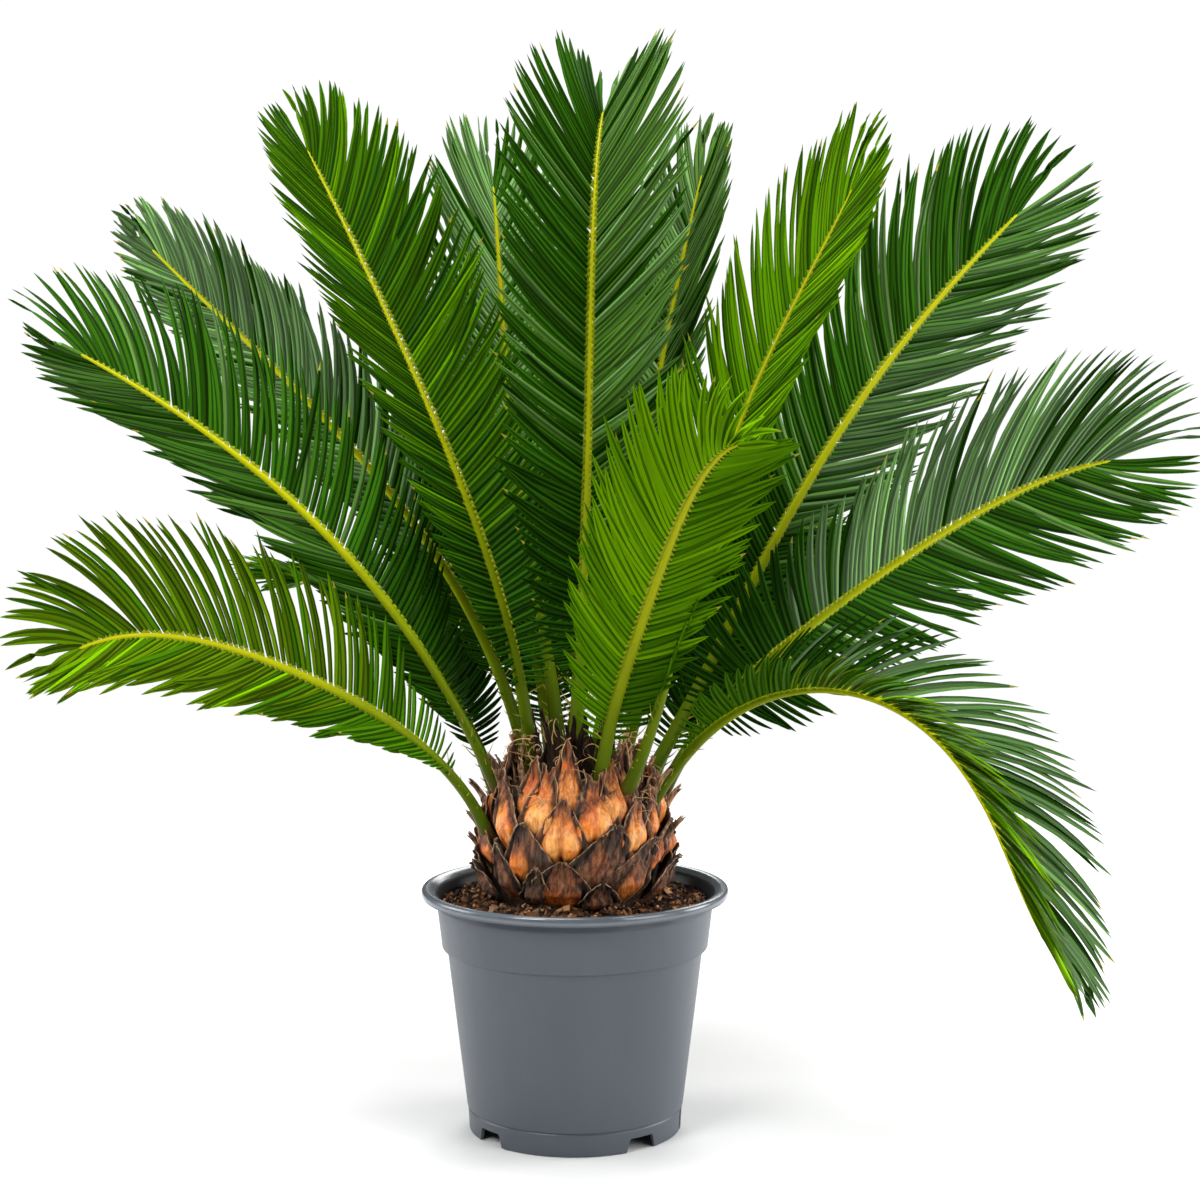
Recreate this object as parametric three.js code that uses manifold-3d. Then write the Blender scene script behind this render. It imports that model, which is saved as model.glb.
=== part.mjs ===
// A sago palm (a cycad) growing in its round nursery pot.
//
// Millimetres, +Z up. The origin is the centre of the pot's flat underside, and -Y is the front.
// A bearing is an angle round the pot's axis, counted from +X towards +Y.
//
// The short trunk is a barrel covered with the bases of old leaves. The fronds stand in sockets round its
// crown. Each frond is one stiff rib with a row of leaflets on either side, cut to the rib between them.

import * as THREE from 'three';
import { ConvexGeometry } from 'three/addons/geometries/ConvexGeometry.js';
import { mergeVertices } from 'three/addons/utils/BufferGeometryUtils.js';
import Module from 'manifold-3d';

const wasm = await Module();
wasm.setup();

// ---------------------------------------------------------------- driving dimensions

const GAP = 0.3; // clearance between neighbouring pieces

const POT = {
  rimRadius: 135,
  height: 214.5,
  lipDepth: 9,
  lipWidth: 8.6,
  bandTopRadius: 121.5,
  bandFootRadius: 117,
  stepHeight: 162,
  wallTopRadius: 112,
  wallFootRadius: 95.3,
  footHeight: 21,
  footRadius: 93.5,
  discRadius: 60,
  channelHeight: 12.5,
  wall: 2.3,
  facets: 36,
};
const NOTCH = { height: 12, footWidth: 23, topWidth: 17, bearings: [-141, -52, 37, 128] };
const MOULD_MARK = { width: 5, depth: 1.1, bearings: [-12, 168] };

const SOIL = { top: 200, chips: 12, chipLength: 16 };

const TRUNK = {
  foot: SOIL.top + GAP,
  facets: 18,
  // radius of the woody core at a few heights, from the flat cut to the crown
  core: [
    [66, SOIL.top + GAP],
    [73, 216],
    [76, 245],
    [75, 272],
    [70, 292],
    [56, 308],
    [30, 317],
  ],
  top: 320,
};
const SCALE = { count: 38, width: 50, height: 54, thickness: 12, turn: 137.5, first: 210, last: 304 };
const STUB = { length: 44, width: 15, thickness: 7 };
// dried stubs of cut stalks: bearing and height of the root of each
const STUBS = [
  [-171, 244], [-178, 222], [172, 268], [152, 288], [8, 262], [2, 238], [-14, 284],
  [62, 236], [112, 228], [140, 250],
];

const RIB = {
  rootWidth: 15.5,
  rootThickness: 11.5,
  tipWidth: 3.2,
  tipThickness: 2.6,
  stations: 9,
  socket: 11, // how deep the stalk's foot stands in the trunk
};
const LEAFLET = {
  pitch: 50, // from one leaflet to the next along the rib
  firstAt: 0.13, // share of the frond's length that is bare stalk
  width: 25,
  rootWidth: 5,
  thickness: 2.2,
  curl: 20, // degrees that a leaflet bends towards the frond's tip
  droop: 0.15,
  shortest: 0.45, // a leaflet cut shorter than this share of its length is left out
};

// One entry a frond. root: bearing, radius and height where the stalk leaves the crown. bearing: direction of
// the rib, and sweep: its change along the rib. length: of the rib. climb: degrees above level at four even
// stations. twist: of the blade about its rib. The last three are pairs, for the left and the right row as
// seen from the foot with the upper face towards you. lift: of the leaflets out of the blade's plane. spread:
// how wide their angle to the rib is. leaflet: longest leaflet.
const FRONDS = [
  { name: 'frond_front', root: [-64, 50, 300], bearing: -64, sweep: -3, length: 405,
    climb: [84, 55, 49, 9], twist: 0, lift: [-24, 25], spread: [0.95, 0.83], leaflet: [92, 136] },
  { name: 'frond_arch', root: [-10, 66, 284], bearing: -10, sweep: -11, length: 488, splitAt: 0.44,
    climb: [60, 14, -50, -60], twist: 35, lift: [19, 64], spread: [0.84, 1.3], leaflet: [137, 106] },
  { name: 'frond_low_left', root: [200, 83, 272], bearing: 203, sweep: 30, length: 443,
    climb: [66, 32, 18, -15], twist: -66, lift: [4, 18], spread: [0.77, 1.2], leaflet: [107, 121] },
  { name: 'frond_wide_left', root: [186, 67, 298], bearing: 200, sweep: -22, length: 526,
    climb: [66, 54, 40, 29], twist: -43, lift: [-50, 12], spread: [0.66, 1.28], leaflet: [98, 144] },
  { name: 'frond_bright_right', root: [-46, 66, 308], bearing: -45, sweep: -6, length: 550,
    climb: [57, 71, 59, 55], twist: 66, lift: [31, -4], spread: [0.95, 0.76], leaflet: [114, 104] },
  { name: 'frond_wide_right', root: [16, 86, 302], bearing: 20, sweep: -12, length: 515,
    climb: [61, 37, 30, 10], twist: 92, lift: [32, -22], spread: [1.42, 1.1], leaflet: [160, 160] },
  { name: 'frond_tall_right', root: [32, 78, 304], bearing: 36, sweep: -16, length: 654,
    climb: [52, 57, 50, 43], twist: 84, lift: [-7, -16], spread: [1.05, 0.91], leaflet: [163, 170] },
  { name: 'frond_tall_left', root: [165, 38, 306], bearing: 138, sweep: 0, length: 648,
    climb: [85, 64, 57, 54], twist: -8, lift: [21, 52], spread: [1.3, 1.2], leaflet: [108, 130] },
  { name: 'frond_centre', root: [-90, 8, 316], bearing: 81, sweep: 2, length: 629,
    climb: [78, 76, 81, 34], twist: -5, lift: [55, 35], spread: [1.3, 1.28], leaflet: [134, 148] },
  { name: 'frond_shaded_left', root: [135, 62, 318], bearing: 150, sweep: 4, length: 634,
    climb: [75, 51, 40, 41], twist: -25, lift: [-56, 52], spread: [0.7, 0.96], leaflet: [100, 113] },
  { name: 'frond_back_right', root: [66, 48, 325], bearing: 68, sweep: -8, length: 580,
    climb: [64, 68, 67, 64], twist: -12, lift: [14, 16], spread: [0.9, 0.8], leaflet: [128, 110] },
  { name: 'frond_back_left', root: [108, 50, 330], bearing: 112, sweep: -3, length: 548,
    climb: [79, 62, 75, 73], twist: 0, lift: [20, 14], spread: [0.95, 1], leaflet: [130, 128] },
  { name: 'frond_low_right', root: [38, 80, 280], bearing: 44, sweep: -14, length: 400,
    climb: [66, 42, 18, -14], twist: 30, lift: [16, 16], spread: [0.9, 0.9], leaflet: [124, 124] },
  { name: 'frond_rear_low', root: [105, 74, 282], bearing: 104, sweep: 0, length: 520,
    climb: [66, 44, 22, -4], twist: 0, lift: [16, 16], spread: [1, 1], leaflet: [140, 140] },
  { name: 'frond_rear_right', root: [60, 76, 286], bearing: 66, sweep: 0, length: 500,
    climb: [62, 38, 14, -14], twist: 0, lift: [16, 16], spread: [1, 1], leaflet: [138, 138] },
  { name: 'frond_rear_left', root: [150, 78, 278], bearing: 128, sweep: -6, length: 450,
    climb: [60, 36, 14, -10], twist: 0, lift: [16, 16], spread: [0.9, 0.9], leaflet: [130, 130] },
  { name: 'frond_rear_tall', root: [88, 66, 300], bearing: 92, sweep: 0, length: 600,
    climb: [72, 62, 48, 30], twist: 0, lift: [16, 16], spread: [1, 1], leaflet: [142, 142] },
];

// ---------------------------------------------------------------- materials

function finish(color, roughness, metalness = 0) {
  return new THREE.MeshStandardMaterial({ color, roughness, metalness });
}

const POT_PLASTIC = finish(0x8b9299, 0.42);
const POTTING_SOIL = finish(0x2f221a, 0.95);
const LEAF_BASE_BARK = finish(0x9a6136, 0.85);
const FROND_GREEN = finish(0x3f6f1e, 0.5);
const DEEP_GREEN = finish(0x24492a, 0.5);
const BRIGHT_GREEN = finish(0x6b9312, 0.5);

const BRIGHT_FRONDS = ['frond_front', 'frond_bright_right'];
const DEEP_FRONDS = [
  'frond_arch', 'frond_wide_right', 'frond_tall_right', 'frond_shaded_left', 'frond_back_right',
  'frond_back_left',
];

function frondFinish(name) {
  if (BRIGHT_FRONDS.includes(name)) {
    return BRIGHT_GREEN;
  }
  return DEEP_FRONDS.includes(name) ? DEEP_GREEN : FROND_GREEN;
}

// ---------------------------------------------------------------- helpers

const plant = new THREE.Group();
const rad = THREE.MathUtils.degToRad;
const UP = new THREE.Vector3(0, 0, 1);

// repeatable random numbers from 0 to 1
function dice(seed) {
  let state = seed;
  return () => {
    state = (state * 1664525 + 1013904223) % 4294967296;
    return state / 4294967296;
  };
}

function lerp(a, b, t) {
  return a + (b - a) * t;
}

// value at x on a line through sorted [x, value] knots
function onLine(knots, x) {
  if (x <= knots[0][0]) {
    return knots[0][1];
  }
  for (let i = 1; i < knots.length; i += 1) {
    if (x <= knots[i][0]) {
      const [x0, v0] = knots[i - 1];
      const [x1, v1] = knots[i];
      return lerp(v0, v1, (x - x0) / (x1 - x0));
    }
  }
  return knots[knots.length - 1][1];
}

function around(bearing, radius, z) {
  return new THREE.Vector3(radius * Math.cos(rad(bearing)), radius * Math.sin(rad(bearing)), z);
}

// a closed three.js geometry as a solid, with its faces turned outwards
function solidOf(geometry) {
  const bare = geometry.clone();
  bare.deleteAttribute('normal');
  bare.deleteAttribute('uv');
  const merged = mergeVertices(bare, 1e-4);
  const vertProperties = Float32Array.from(merged.attributes.position.array);
  const corners = Array.from(merged.index.array);
  const triVerts = [];
  for (let i = 0; i < corners.length; i += 3) {
    const [a, b, c] = corners.slice(i, i + 3);
    if (a !== b && b !== c && c !== a) {
      triVerts.push(a, b, c);
    }
  }
  const build = (tris) =>
    new wasm.Manifold(new wasm.Mesh({ numProp: 3, vertProperties, triVerts: Uint32Array.from(tris) }));
  const solid = build(triVerts);
  if (solid.volume() > 0) {
    return solid;
  }
  return build(triVerts.slice().reverse());
}

function geometryOf(solid) {
  const mesh = solid.getMesh();
  const geometry = new THREE.BufferGeometry();
  const positions = new Float32Array(mesh.numVert * 3);
  for (let i = 0; i < mesh.numVert; i += 1) {
    for (let k = 0; k < 3; k += 1) {
      positions[i * 3 + k] = mesh.vertProperties[i * mesh.numProp + k];
    }
  }
  geometry.setAttribute('position', new THREE.BufferAttribute(positions, 3));
  geometry.setIndex(Array.from(mesh.triVerts));
  geometry.computeVertexNormals();
  return geometry;
}

function addNode(name, solid, material) {
  const mesh = new THREE.Mesh(geometryOf(solid), material);
  mesh.name = name;
  plant.add(mesh);
}

function fuse(solids) {
  return solids.reduce((whole, piece) => whole.add(piece));
}

// the largest piece of a cut solid, without its loose scraps
function mainPiece(solid) {
  return solid.decompose().reduce((best, piece) => (piece.volume() > best.volume() ? piece : best));
}

function hullOf(points) {
  return solidOf(new ConvexGeometry(points));
}

// a closed skin through rings of equally many points, ending flat or in a point
function loft(rings, apex = null) {
  const sides = rings[0].length;
  const points = rings.flat();
  const faces = [];
  for (let k = 1; k < sides - 1; k += 1) {
    faces.push(0, k + 1, k);
  }
  for (let r = 0; r < rings.length - 1; r += 1) {
    for (let k = 0; k < sides; k += 1) {
      const a = r * sides + k;
      const b = r * sides + ((k + 1) % sides);
      faces.push(a, b, b + sides, a, b + sides, a + sides);
    }
  }
  const last = (rings.length - 1) * sides;
  if (apex) {
    points.push(apex);
    for (let k = 0; k < sides; k += 1) {
      faces.push(last + k, last + ((k + 1) % sides), points.length - 1);
    }
  } else {
    for (let k = 1; k < sides - 1; k += 1) {
      faces.push(last, last + k, last + k + 1);
    }
  }
  const geometry = new THREE.BufferGeometry().setFromPoints(points);
  geometry.setIndex(faces);
  return solidOf(geometry);
}

function turned(profile, facets) {
  const outline = profile.map(([radius, z]) => new THREE.Vector2(radius, z));
  const geometry = new THREE.LatheGeometry(outline, facets);
  geometry.rotateX(Math.PI / 2);
  return solidOf(geometry);
}

// ---------------------------------------------------------------- pot

function innerRadius(z) {
  const knots = [
    [POT.footHeight, POT.wallFootRadius - POT.wall],
    [POT.stepHeight - 3, POT.wallTopRadius - POT.wall],
    [POT.stepHeight + 2, POT.bandFootRadius - POT.wall],
    [POT.height - POT.lipDepth, POT.bandTopRadius - POT.wall],
  ];
  return onLine(knots, z);
}

// the outer face of the pot, from the middle of its underside up and over the rolled lip
function potOuterProfile() {
  const lipFoot = POT.height - POT.lipDepth;
  return [
    [0, 0],
    [POT.discRadius, 0],
    [POT.discRadius + 5, POT.channelHeight],
    [POT.footRadius - 4, POT.channelHeight],
    [POT.footRadius - 2.5, 0],
    [POT.footRadius, 0],
    [POT.footRadius + 1.1, POT.footHeight - 2],
    [POT.footRadius + 0.3, POT.footHeight - 1],
    [POT.wallFootRadius, POT.footHeight],
    [POT.wallTopRadius, POT.stepHeight - 4],
    [POT.wallTopRadius + 1.6, POT.stepHeight - 1.4],
    [POT.bandFootRadius - 0.6, POT.stepHeight - 0.2],
    [POT.bandFootRadius, POT.stepHeight + 1.2],
    [POT.bandTopRadius, lipFoot],
    [POT.rimRadius - 1.6, lipFoot + 0.6],
    [POT.rimRadius, lipFoot + 3.4],
    [POT.rimRadius - 0.5, POT.height - 1.8],
    [POT.rimRadius - 2.8, POT.height],
    [POT.rimRadius - POT.lipWidth, POT.height],
  ];
}

function potInnerProfile() {
  const floorTop = POT.channelHeight + POT.wall;
  return [
    [innerRadius(POT.height), POT.height - POT.lipDepth],
    [innerRadius(POT.stepHeight + 2), POT.stepHeight + 2],
    [innerRadius(POT.stepHeight - 3), POT.stepHeight - 3],
    [innerRadius(0), POT.footHeight],
    [innerRadius(0) - 2.5, floorTop],
    [POT.discRadius + 5, floorTop],
    [POT.discRadius, POT.wall],
    [0, POT.wall],
  ];
}

function notchCutter(bearing) {
  const shape = new THREE.Shape();
  shape.moveTo(-NOTCH.footWidth / 2 - 1, -1);
  shape.lineTo(NOTCH.footWidth / 2 + 1, -1);
  shape.lineTo(NOTCH.topWidth / 2, NOTCH.height);
  shape.lineTo(-NOTCH.topWidth / 2, NOTCH.height);
  const geometry = new THREE.ExtrudeGeometry(shape, { depth: 14, bevelEnabled: false });
  geometry.rotateX(Math.PI / 2);
  geometry.rotateZ(rad(bearing + 90));
  const inset = around(bearing, POT.footRadius - 7, 0);
  geometry.translate(inset.x, inset.y, 0);
  return solidOf(geometry);
}

function mouldMarkCutter(bearing) {
  const geometry = new THREE.BoxGeometry(2 * MOULD_MARK.depth, MOULD_MARK.width, POT.footHeight);
  geometry.rotateZ(rad(bearing));
  const place = around(bearing, POT.footRadius + 0.4, POT.footHeight / 2 - 1.5);
  geometry.translate(place.x, place.y, place.z);
  return solidOf(geometry);
}

function makePot() {
  const profile = [...potOuterProfile(), ...potInnerProfile(), [0, 0]];
  let pot = turned(profile, POT.facets);
  for (const bearing of NOTCH.bearings) {
    pot = pot.subtract(notchCutter(bearing));
  }
  for (const bearing of MOULD_MARK.bearings) {
    pot = pot.subtract(mouldMarkCutter(bearing));
  }
  return pot;
}

// ---------------------------------------------------------------- soil

function soilChip(roll) {
  const bearing = 360 * roll();
  const radius = lerp(86, 108, roll());
  const size = SOIL.chipLength * lerp(0.6, 1.1, roll());
  const geometry = new THREE.BoxGeometry(size, size * 0.5, size * 0.34);
  geometry.rotateX(rad(lerp(-25, 25, roll())));
  geometry.rotateZ(rad(360 * roll()));
  const place = around(bearing, radius, SOIL.top + 0.6);
  geometry.translate(place.x, place.y, place.z);
  return solidOf(geometry);
}

function makeSoil() {
  const floorTop = POT.channelHeight + POT.wall + GAP;
  const profile = [
    [0, POT.wall + GAP],
    [POT.discRadius - 0.4, POT.wall + GAP],
    [POT.discRadius + 4.6, floorTop],
    [innerRadius(0) - 2.5 - GAP, floorTop],
    [innerRadius(0) - GAP, POT.footHeight],
    [innerRadius(POT.stepHeight - 3) - GAP, POT.stepHeight - 2.6],
    [innerRadius(POT.stepHeight + 2) - GAP, POT.stepHeight + 2.4],
    [innerRadius(SOIL.top - 4) - GAP, SOIL.top - 4],
    [TRUNK.core[2][0] + 20, SOIL.top],
    [0, SOIL.top],
  ];
  const roll = dice(7);
  const chips = Array.from({ length: SOIL.chips }, () => soilChip(roll));
  return fuse([turned([...profile, profile[0]], POT.facets), ...chips]);
}

// ---------------------------------------------------------------- trunk

function coreRadius(z) {
  return onLine(TRUNK.core.map(([radius, height]) => [height, radius]), z);
}

// a pad of old leaf base: a rhomb on the trunk that bulges and ends in a point
function leafBase(bearing, z, size) {
  const outward = around(bearing, 1, 0);
  const across = around(bearing + 90, 1, 0);
  const lean = z > 288 ? 0.35 : 0.08;
  const rise = UP.clone().addScaledVector(outward, -lean).normalize();
  const centre = outward.clone().multiplyScalar(coreRadius(z)).setZ(z);
  const at = (side, bulge, height) =>
    centre.clone()
      .addScaledVector(across, side * SCALE.width * size)
      .addScaledVector(outward, bulge * SCALE.thickness)
      .addScaledVector(rise, height * SCALE.height * size);
  return hullOf([
    at(0, 0.1, -0.5),
    at(-0.5, 0.1, 0.02),
    at(0.5, 0.1, 0.02),
    at(0, 1.15, -0.08),
    at(0, 0.8, 0.54),
    at(0, -1.2, 0.05),
  ]);
}

// a dried stub of a cut stalk that curves out and up like a hook
function stalkStub([bearing, z]) {
  const outward = around(bearing, 1, 0);
  const across = around(bearing + 90, 1, 0);
  const start = outward.clone().multiplyScalar(coreRadius(z) - 4).setZ(z);
  const steps = [0, 0.5, 1];
  const rings = steps.map((t) => {
    const reach = STUB.length * (0.52 * t + 0.06 * Math.sin(Math.PI * t));
    const rise = STUB.length * 0.85 * t * t;
    const middle = start.clone().addScaledVector(outward, reach).addScaledVector(UP, rise);
    const half = STUB.width * lerp(0.5, 0.14, t);
    const thick = STUB.thickness * lerp(0.5, 0.2, t);
    const normal = outward.clone().multiplyScalar(0.5).addScaledVector(UP, -0.5);
    return [
      middle.clone().addScaledVector(across, -half),
      middle.clone().addScaledVector(normal, thick),
      middle.clone().addScaledVector(across, half),
      middle.clone().addScaledVector(normal, -thick),
    ];
  });
  return loft(rings);
}

function makeTrunkBody() {
  const profile = [[0, TRUNK.foot], ...TRUNK.core, [0, TRUNK.top], [0, TRUNK.foot]];
  const pieces = [turned(profile, TRUNK.facets)];
  for (let i = 0; i < SCALE.count; i += 1) {
    const t = i / (SCALE.count - 1);
    const z = lerp(SCALE.first, SCALE.last, t);
    pieces.push(leafBase(-90 + i * SCALE.turn, z, lerp(1, 0.72, t * t)));
  }
  pieces.push(...STUBS.map(stalkStub));
  const below = new THREE.BoxGeometry(400, 400, 100);
  below.translate(0, 0, TRUNK.foot - 50);
  return fuse(pieces).subtract(solidOf(below));
}

// ---------------------------------------------------------------- fronds

// cubic through four values at 0, 1/3, 2/3 and 1
function throughFour([a, b, c, d], s) {
  const t = 3 * s;
  return (
    (-a * (t - 1) * (t - 2) * (t - 3)) / 6 +
    (b * t * (t - 2) * (t - 3)) / 2 -
    (c * t * (t - 1) * (t - 3)) / 2 +
    (d * t * (t - 1) * (t - 2)) / 6
  );
}

function directionAt(frond, s) {
  const climb = rad(throughFour(frond.climb, s));
  const bearing = rad(frond.bearing + frond.sweep * s);
  const level = Math.cos(climb);
  return new THREE.Vector3(level * Math.cos(bearing), level * Math.sin(bearing), Math.sin(climb));
}

const RIB_STEPS = 96;

// points along the rib, from its socket in the crown to its tip
function ribPoints(frond) {
  const points = [around(...frond.root)];
  for (let i = 0; i < RIB_STEPS; i += 1) {
    const ahead = directionAt(frond, (i + 0.5) / RIB_STEPS);
    points.push(points[i].clone().addScaledVector(ahead, frond.length / RIB_STEPS));
  }
  return points;
}

// place, direction, side and face of the blade at share s of the rib
function ribFrame(frond, s) {
  const step = Math.min(Math.max(s, 0) * RIB_STEPS, RIB_STEPS - 1e-6);
  const i = Math.floor(step);
  const place = frond.points[i].clone().lerp(frond.points[i + 1], step - i);
  const along = directionAt(frond, Math.max(s, 0));
  place.addScaledVector(along, Math.min(s, 0) * frond.length);
  const bearing = frond.bearing + frond.sweep * Math.max(s, 0);
  const level = around(bearing + 90, 1, 0);
  const face = along.clone().cross(level);
  const twist = rad(frond.twist * THREE.MathUtils.clamp(s / 0.35, 0, 1));
  const side = level.clone().multiplyScalar(Math.cos(twist)).addScaledVector(face, Math.sin(twist));
  face.multiplyScalar(Math.cos(twist)).addScaledVector(level, -Math.sin(twist));
  return { place, along, side, face };
}

function ribWidth(s) {
  return lerp(RIB.rootWidth, RIB.tipWidth, Math.min(1, Math.pow(Math.max(s, 0), 0.62)));
}

function ribThickness(s) {
  return lerp(RIB.rootThickness, RIB.tipThickness, Math.min(1, Math.pow(Math.max(s, 0), 0.62)));
}

// how far back along its own line the stalk's foot lies inside the trunk, as a share of its length
function footShare(frond) {
  let s = 0;
  const inside = () => {
    const { place } = ribFrame(frond, s);
    const radius = Math.hypot(place.x, place.y);
    return place.z < TRUNK.top - 2 && radius < coreRadius(place.z);
  };
  while (!inside() && s > -0.2) {
    s -= 0.002;
  }
  return s - RIB.socket / frond.length;
}

function ribSolid(frond, from, to, grow = 0) {
  const rings = [];
  for (let i = 0; i <= RIB.stations; i += 1) {
    const s = lerp(from - grow / frond.length, to, i / RIB.stations);
    const { place, side, face } = ribFrame(frond, s);
    const half = ribWidth(s) / 2 + grow;
    const thick = ribThickness(s) / 2 + grow;
    const corner = (across, out) =>
      place.clone().addScaledVector(side, across * half).addScaledVector(face, out * thick);
    rings.push([corner(-1, 1), corner(-0.6, -1), corner(0.6, -1), corner(1, 1)]);
  }
  return loft(rings);
}

// a leaflet's length as a share of the longest, and its angle to the rib, from first leaflet to last
const LEAFLET_REACH = [
  [0, 0.13], [0.08, 0.38], [0.2, 0.66], [0.4, 0.87], [0.6, 1], [0.8, 1], [0.93, 0.83], [1, 0.6],
];
const LEAFLET_ANGLE = [[0, 90], [0.15, 63], [0.5, 52], [0.8, 43], [0.95, 31], [1, 12]];

// one leaflet: a keeled blade that starts in the rib, is widest near its middle and ends in a point
function leafletSolid(frond, row, u, share) {
  const s = lerp(LEAFLET.firstAt, 1, u);
  const { place, along, side, face } = ribFrame(frond, s);
  const pick = row > 0 ? 0 : 1;
  const lift = rad(frond.lift[pick]);
  const sideways = side.clone().multiplyScalar(row * Math.cos(lift)).addScaledVector(face, Math.sin(lift));
  const longest = frond.leaflet[pick];
  const reach = longest * onLine(LEAFLET_REACH, u);
  const ends = [place.addScaledVector(sideways, ribWidth(s) * 0.12)];
  const headings = [];
  const parts = [0.45, 0.55];
  parts.forEach((part, j) => {
    const x = j === 0 ? 0.22 : 0.72;
    const angle = rad(onLine(LEAFLET_ANGLE, u) * frond.spread[pick] - LEAFLET.curl * x);
    const heading = along.clone().multiplyScalar(Math.cos(angle))
      .addScaledVector(sideways, Math.sin(angle))
      .addScaledVector(UP, -LEAFLET.droop * x)
      .normalize();
    headings.push(heading);
    ends.push(ends[j].clone().addScaledVector(heading, reach * part * share));
  });
  const ring = (middle, heading, width, thickness) => {
    const flat = along.clone().addScaledVector(heading, -along.dot(heading)).normalize();
    const ridge = heading.clone().cross(flat).multiplyScalar(row);
    return [
      middle.clone().addScaledVector(flat, -width / 2).addScaledVector(ridge, -thickness / 3),
      middle.clone().addScaledVector(flat, width / 2).addScaledVector(ridge, -thickness / 3),
      middle.clone().addScaledVector(ridge, (thickness * 2) / 3),
    ];
  };
  const slim = Math.min(1, reach / (0.6 * longest));
  const rings = [
    ring(ends[0], headings[0], LEAFLET.rootWidth * slim, LEAFLET.thickness),
    ring(ends[1], headings[0], LEAFLET.width * slim, LEAFLET.thickness),
  ];
  return loft(rings, ends[2]);
}

function boxesMeet(a, b) {
  return [0, 1, 2].every((k) => a.min[k] - GAP < b.max[k] && b.min[k] - GAP < a.max[k]);
}

function isClear(solid, others) {
  const box = solid.boundingBox();
  return others.every(
    (other) => !boxesMeet(box, other.box) || solid.minGap(other.solid, 2 * GAP) > GAP,
  );
}

// a frond in one or two lengths, each from one share of the rib to another
function lengthsOf(frond) {
  if (!frond.splitAt) {
    return [{ node: frond.name, from: frond.foot, to: 1 }];
  }
  return [
    { node: `${frond.name}_stalk`, from: frond.foot, to: frond.splitAt },
    { node: `${frond.name}_tip`, from: frond.splitAt + (2 * GAP) / frond.length, to: 1 },
  ];
}

function plannedLengths() {
  const planned = [];
  for (const frond of FRONDS) {
    frond.points = ribPoints(frond);
    frond.foot = footShare(frond);
    for (const length of lengthsOf(frond)) {
      const rib = ribSolid(frond, length.from, length.to);
      planned.push({ ...length, frond, solids: [rib] });
    }
  }
  return planned;
}

function addLeaflets(piece, taken) {
  const { frond } = piece;
  const others = taken.filter((other) => other.node !== piece.node);
  const pairs = Math.round(((1 - LEAFLET.firstAt) * frond.length) / LEAFLET.pitch);
  for (let i = 0; i < pairs; i += 1) {
    for (const row of [1, -1]) {
      // the two rows stand half a pitch apart
      const u = (i + 0.5 + 0.25 * row) / pairs;
      const s = lerp(LEAFLET.firstAt, 1, u);
      if (s < piece.from || s > piece.to) {
        continue;
      }
      for (let share = 1; share >= LEAFLET.shortest; share -= 0.18) {
        const solid = leafletSolid(frond, row, u, share);
        if (isClear(solid, others)) {
          piece.solids.push(solid);
          taken.push({ node: piece.node, box: solid.boundingBox(), solid });
          break;
        }
      }
    }
  }
}

// ---------------------------------------------------------------- the whole plant

addNode('pot', makePot(), POT_PLASTIC);
addNode('soil', makeSoil(), POTTING_SOIL);

const planned = plannedLengths();
let trunk = makeTrunkBody();
for (const { frond, from, to } of planned) {
  if (from === frond.foot) {
    trunk = trunk.subtract(ribSolid(frond, from, to, 2 * GAP));
  }
}
trunk = mainPiece(trunk);
addNode('trunk', trunk, LEAF_BASE_BARK);

const taken = planned.map(({ node, solids: [rib] }) => ({ node, box: rib.boundingBox(), solid: rib }));
taken.push({ node: 'trunk', box: trunk.boundingBox(), solid: trunk });
for (const piece of planned) {
  addLeaflets(piece, taken);
  addNode(piece.node, mainPiece(fuse(piece.solids)), frondFinish(piece.frond.name));
}

export default plant;
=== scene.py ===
# %% [markdown]
# # A sago palm in its nursery pot
# A sago palm is a cycad: a short trunk armoured with the bases of its old leaves, and a crown of stiff
# fronds. This notebook dresses a plain packed model of one, piece by piece, until it looks like the living
# plant. Everything is in one frame: +Z is up, -Y is the front, and the origin is the middle of the pot's
# underside. The making works in millimetres, and each mesh is turned into Blender's metres when it is built.

# %% Load the packed plant
import math
import bpy
import numpy as np
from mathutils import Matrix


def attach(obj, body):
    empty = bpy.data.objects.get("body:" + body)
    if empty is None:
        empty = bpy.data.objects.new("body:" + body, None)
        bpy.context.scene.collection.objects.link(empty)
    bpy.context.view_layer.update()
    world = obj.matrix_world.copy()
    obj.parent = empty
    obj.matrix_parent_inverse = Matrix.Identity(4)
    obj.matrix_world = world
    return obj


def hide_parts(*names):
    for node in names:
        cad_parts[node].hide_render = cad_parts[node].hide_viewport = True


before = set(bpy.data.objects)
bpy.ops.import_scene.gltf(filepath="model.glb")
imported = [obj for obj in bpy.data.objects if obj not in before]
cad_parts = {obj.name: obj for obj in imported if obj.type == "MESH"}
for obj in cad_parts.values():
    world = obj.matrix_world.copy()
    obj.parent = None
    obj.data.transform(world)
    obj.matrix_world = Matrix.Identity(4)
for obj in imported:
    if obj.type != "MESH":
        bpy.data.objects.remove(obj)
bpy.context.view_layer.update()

MM = 0.001

# %% [markdown]
# ## Camera
# A plant this size is best seen from two metres away through a long lens, so that the near fronds don't
# swell. The camera stands level with the heart of the crown and looks down a little, into the mouth of the
# pot. A camera could be aimed by a constraint, but a place and a tilt say all that is needed.

# %% Set up the camera
STANDS_AT = (0.022, -1.946, 0.618)  # metres
LOOKS_DOWN = 4.47  # degrees
SENSOR, LENS = 36, 67.2  # mm

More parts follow.
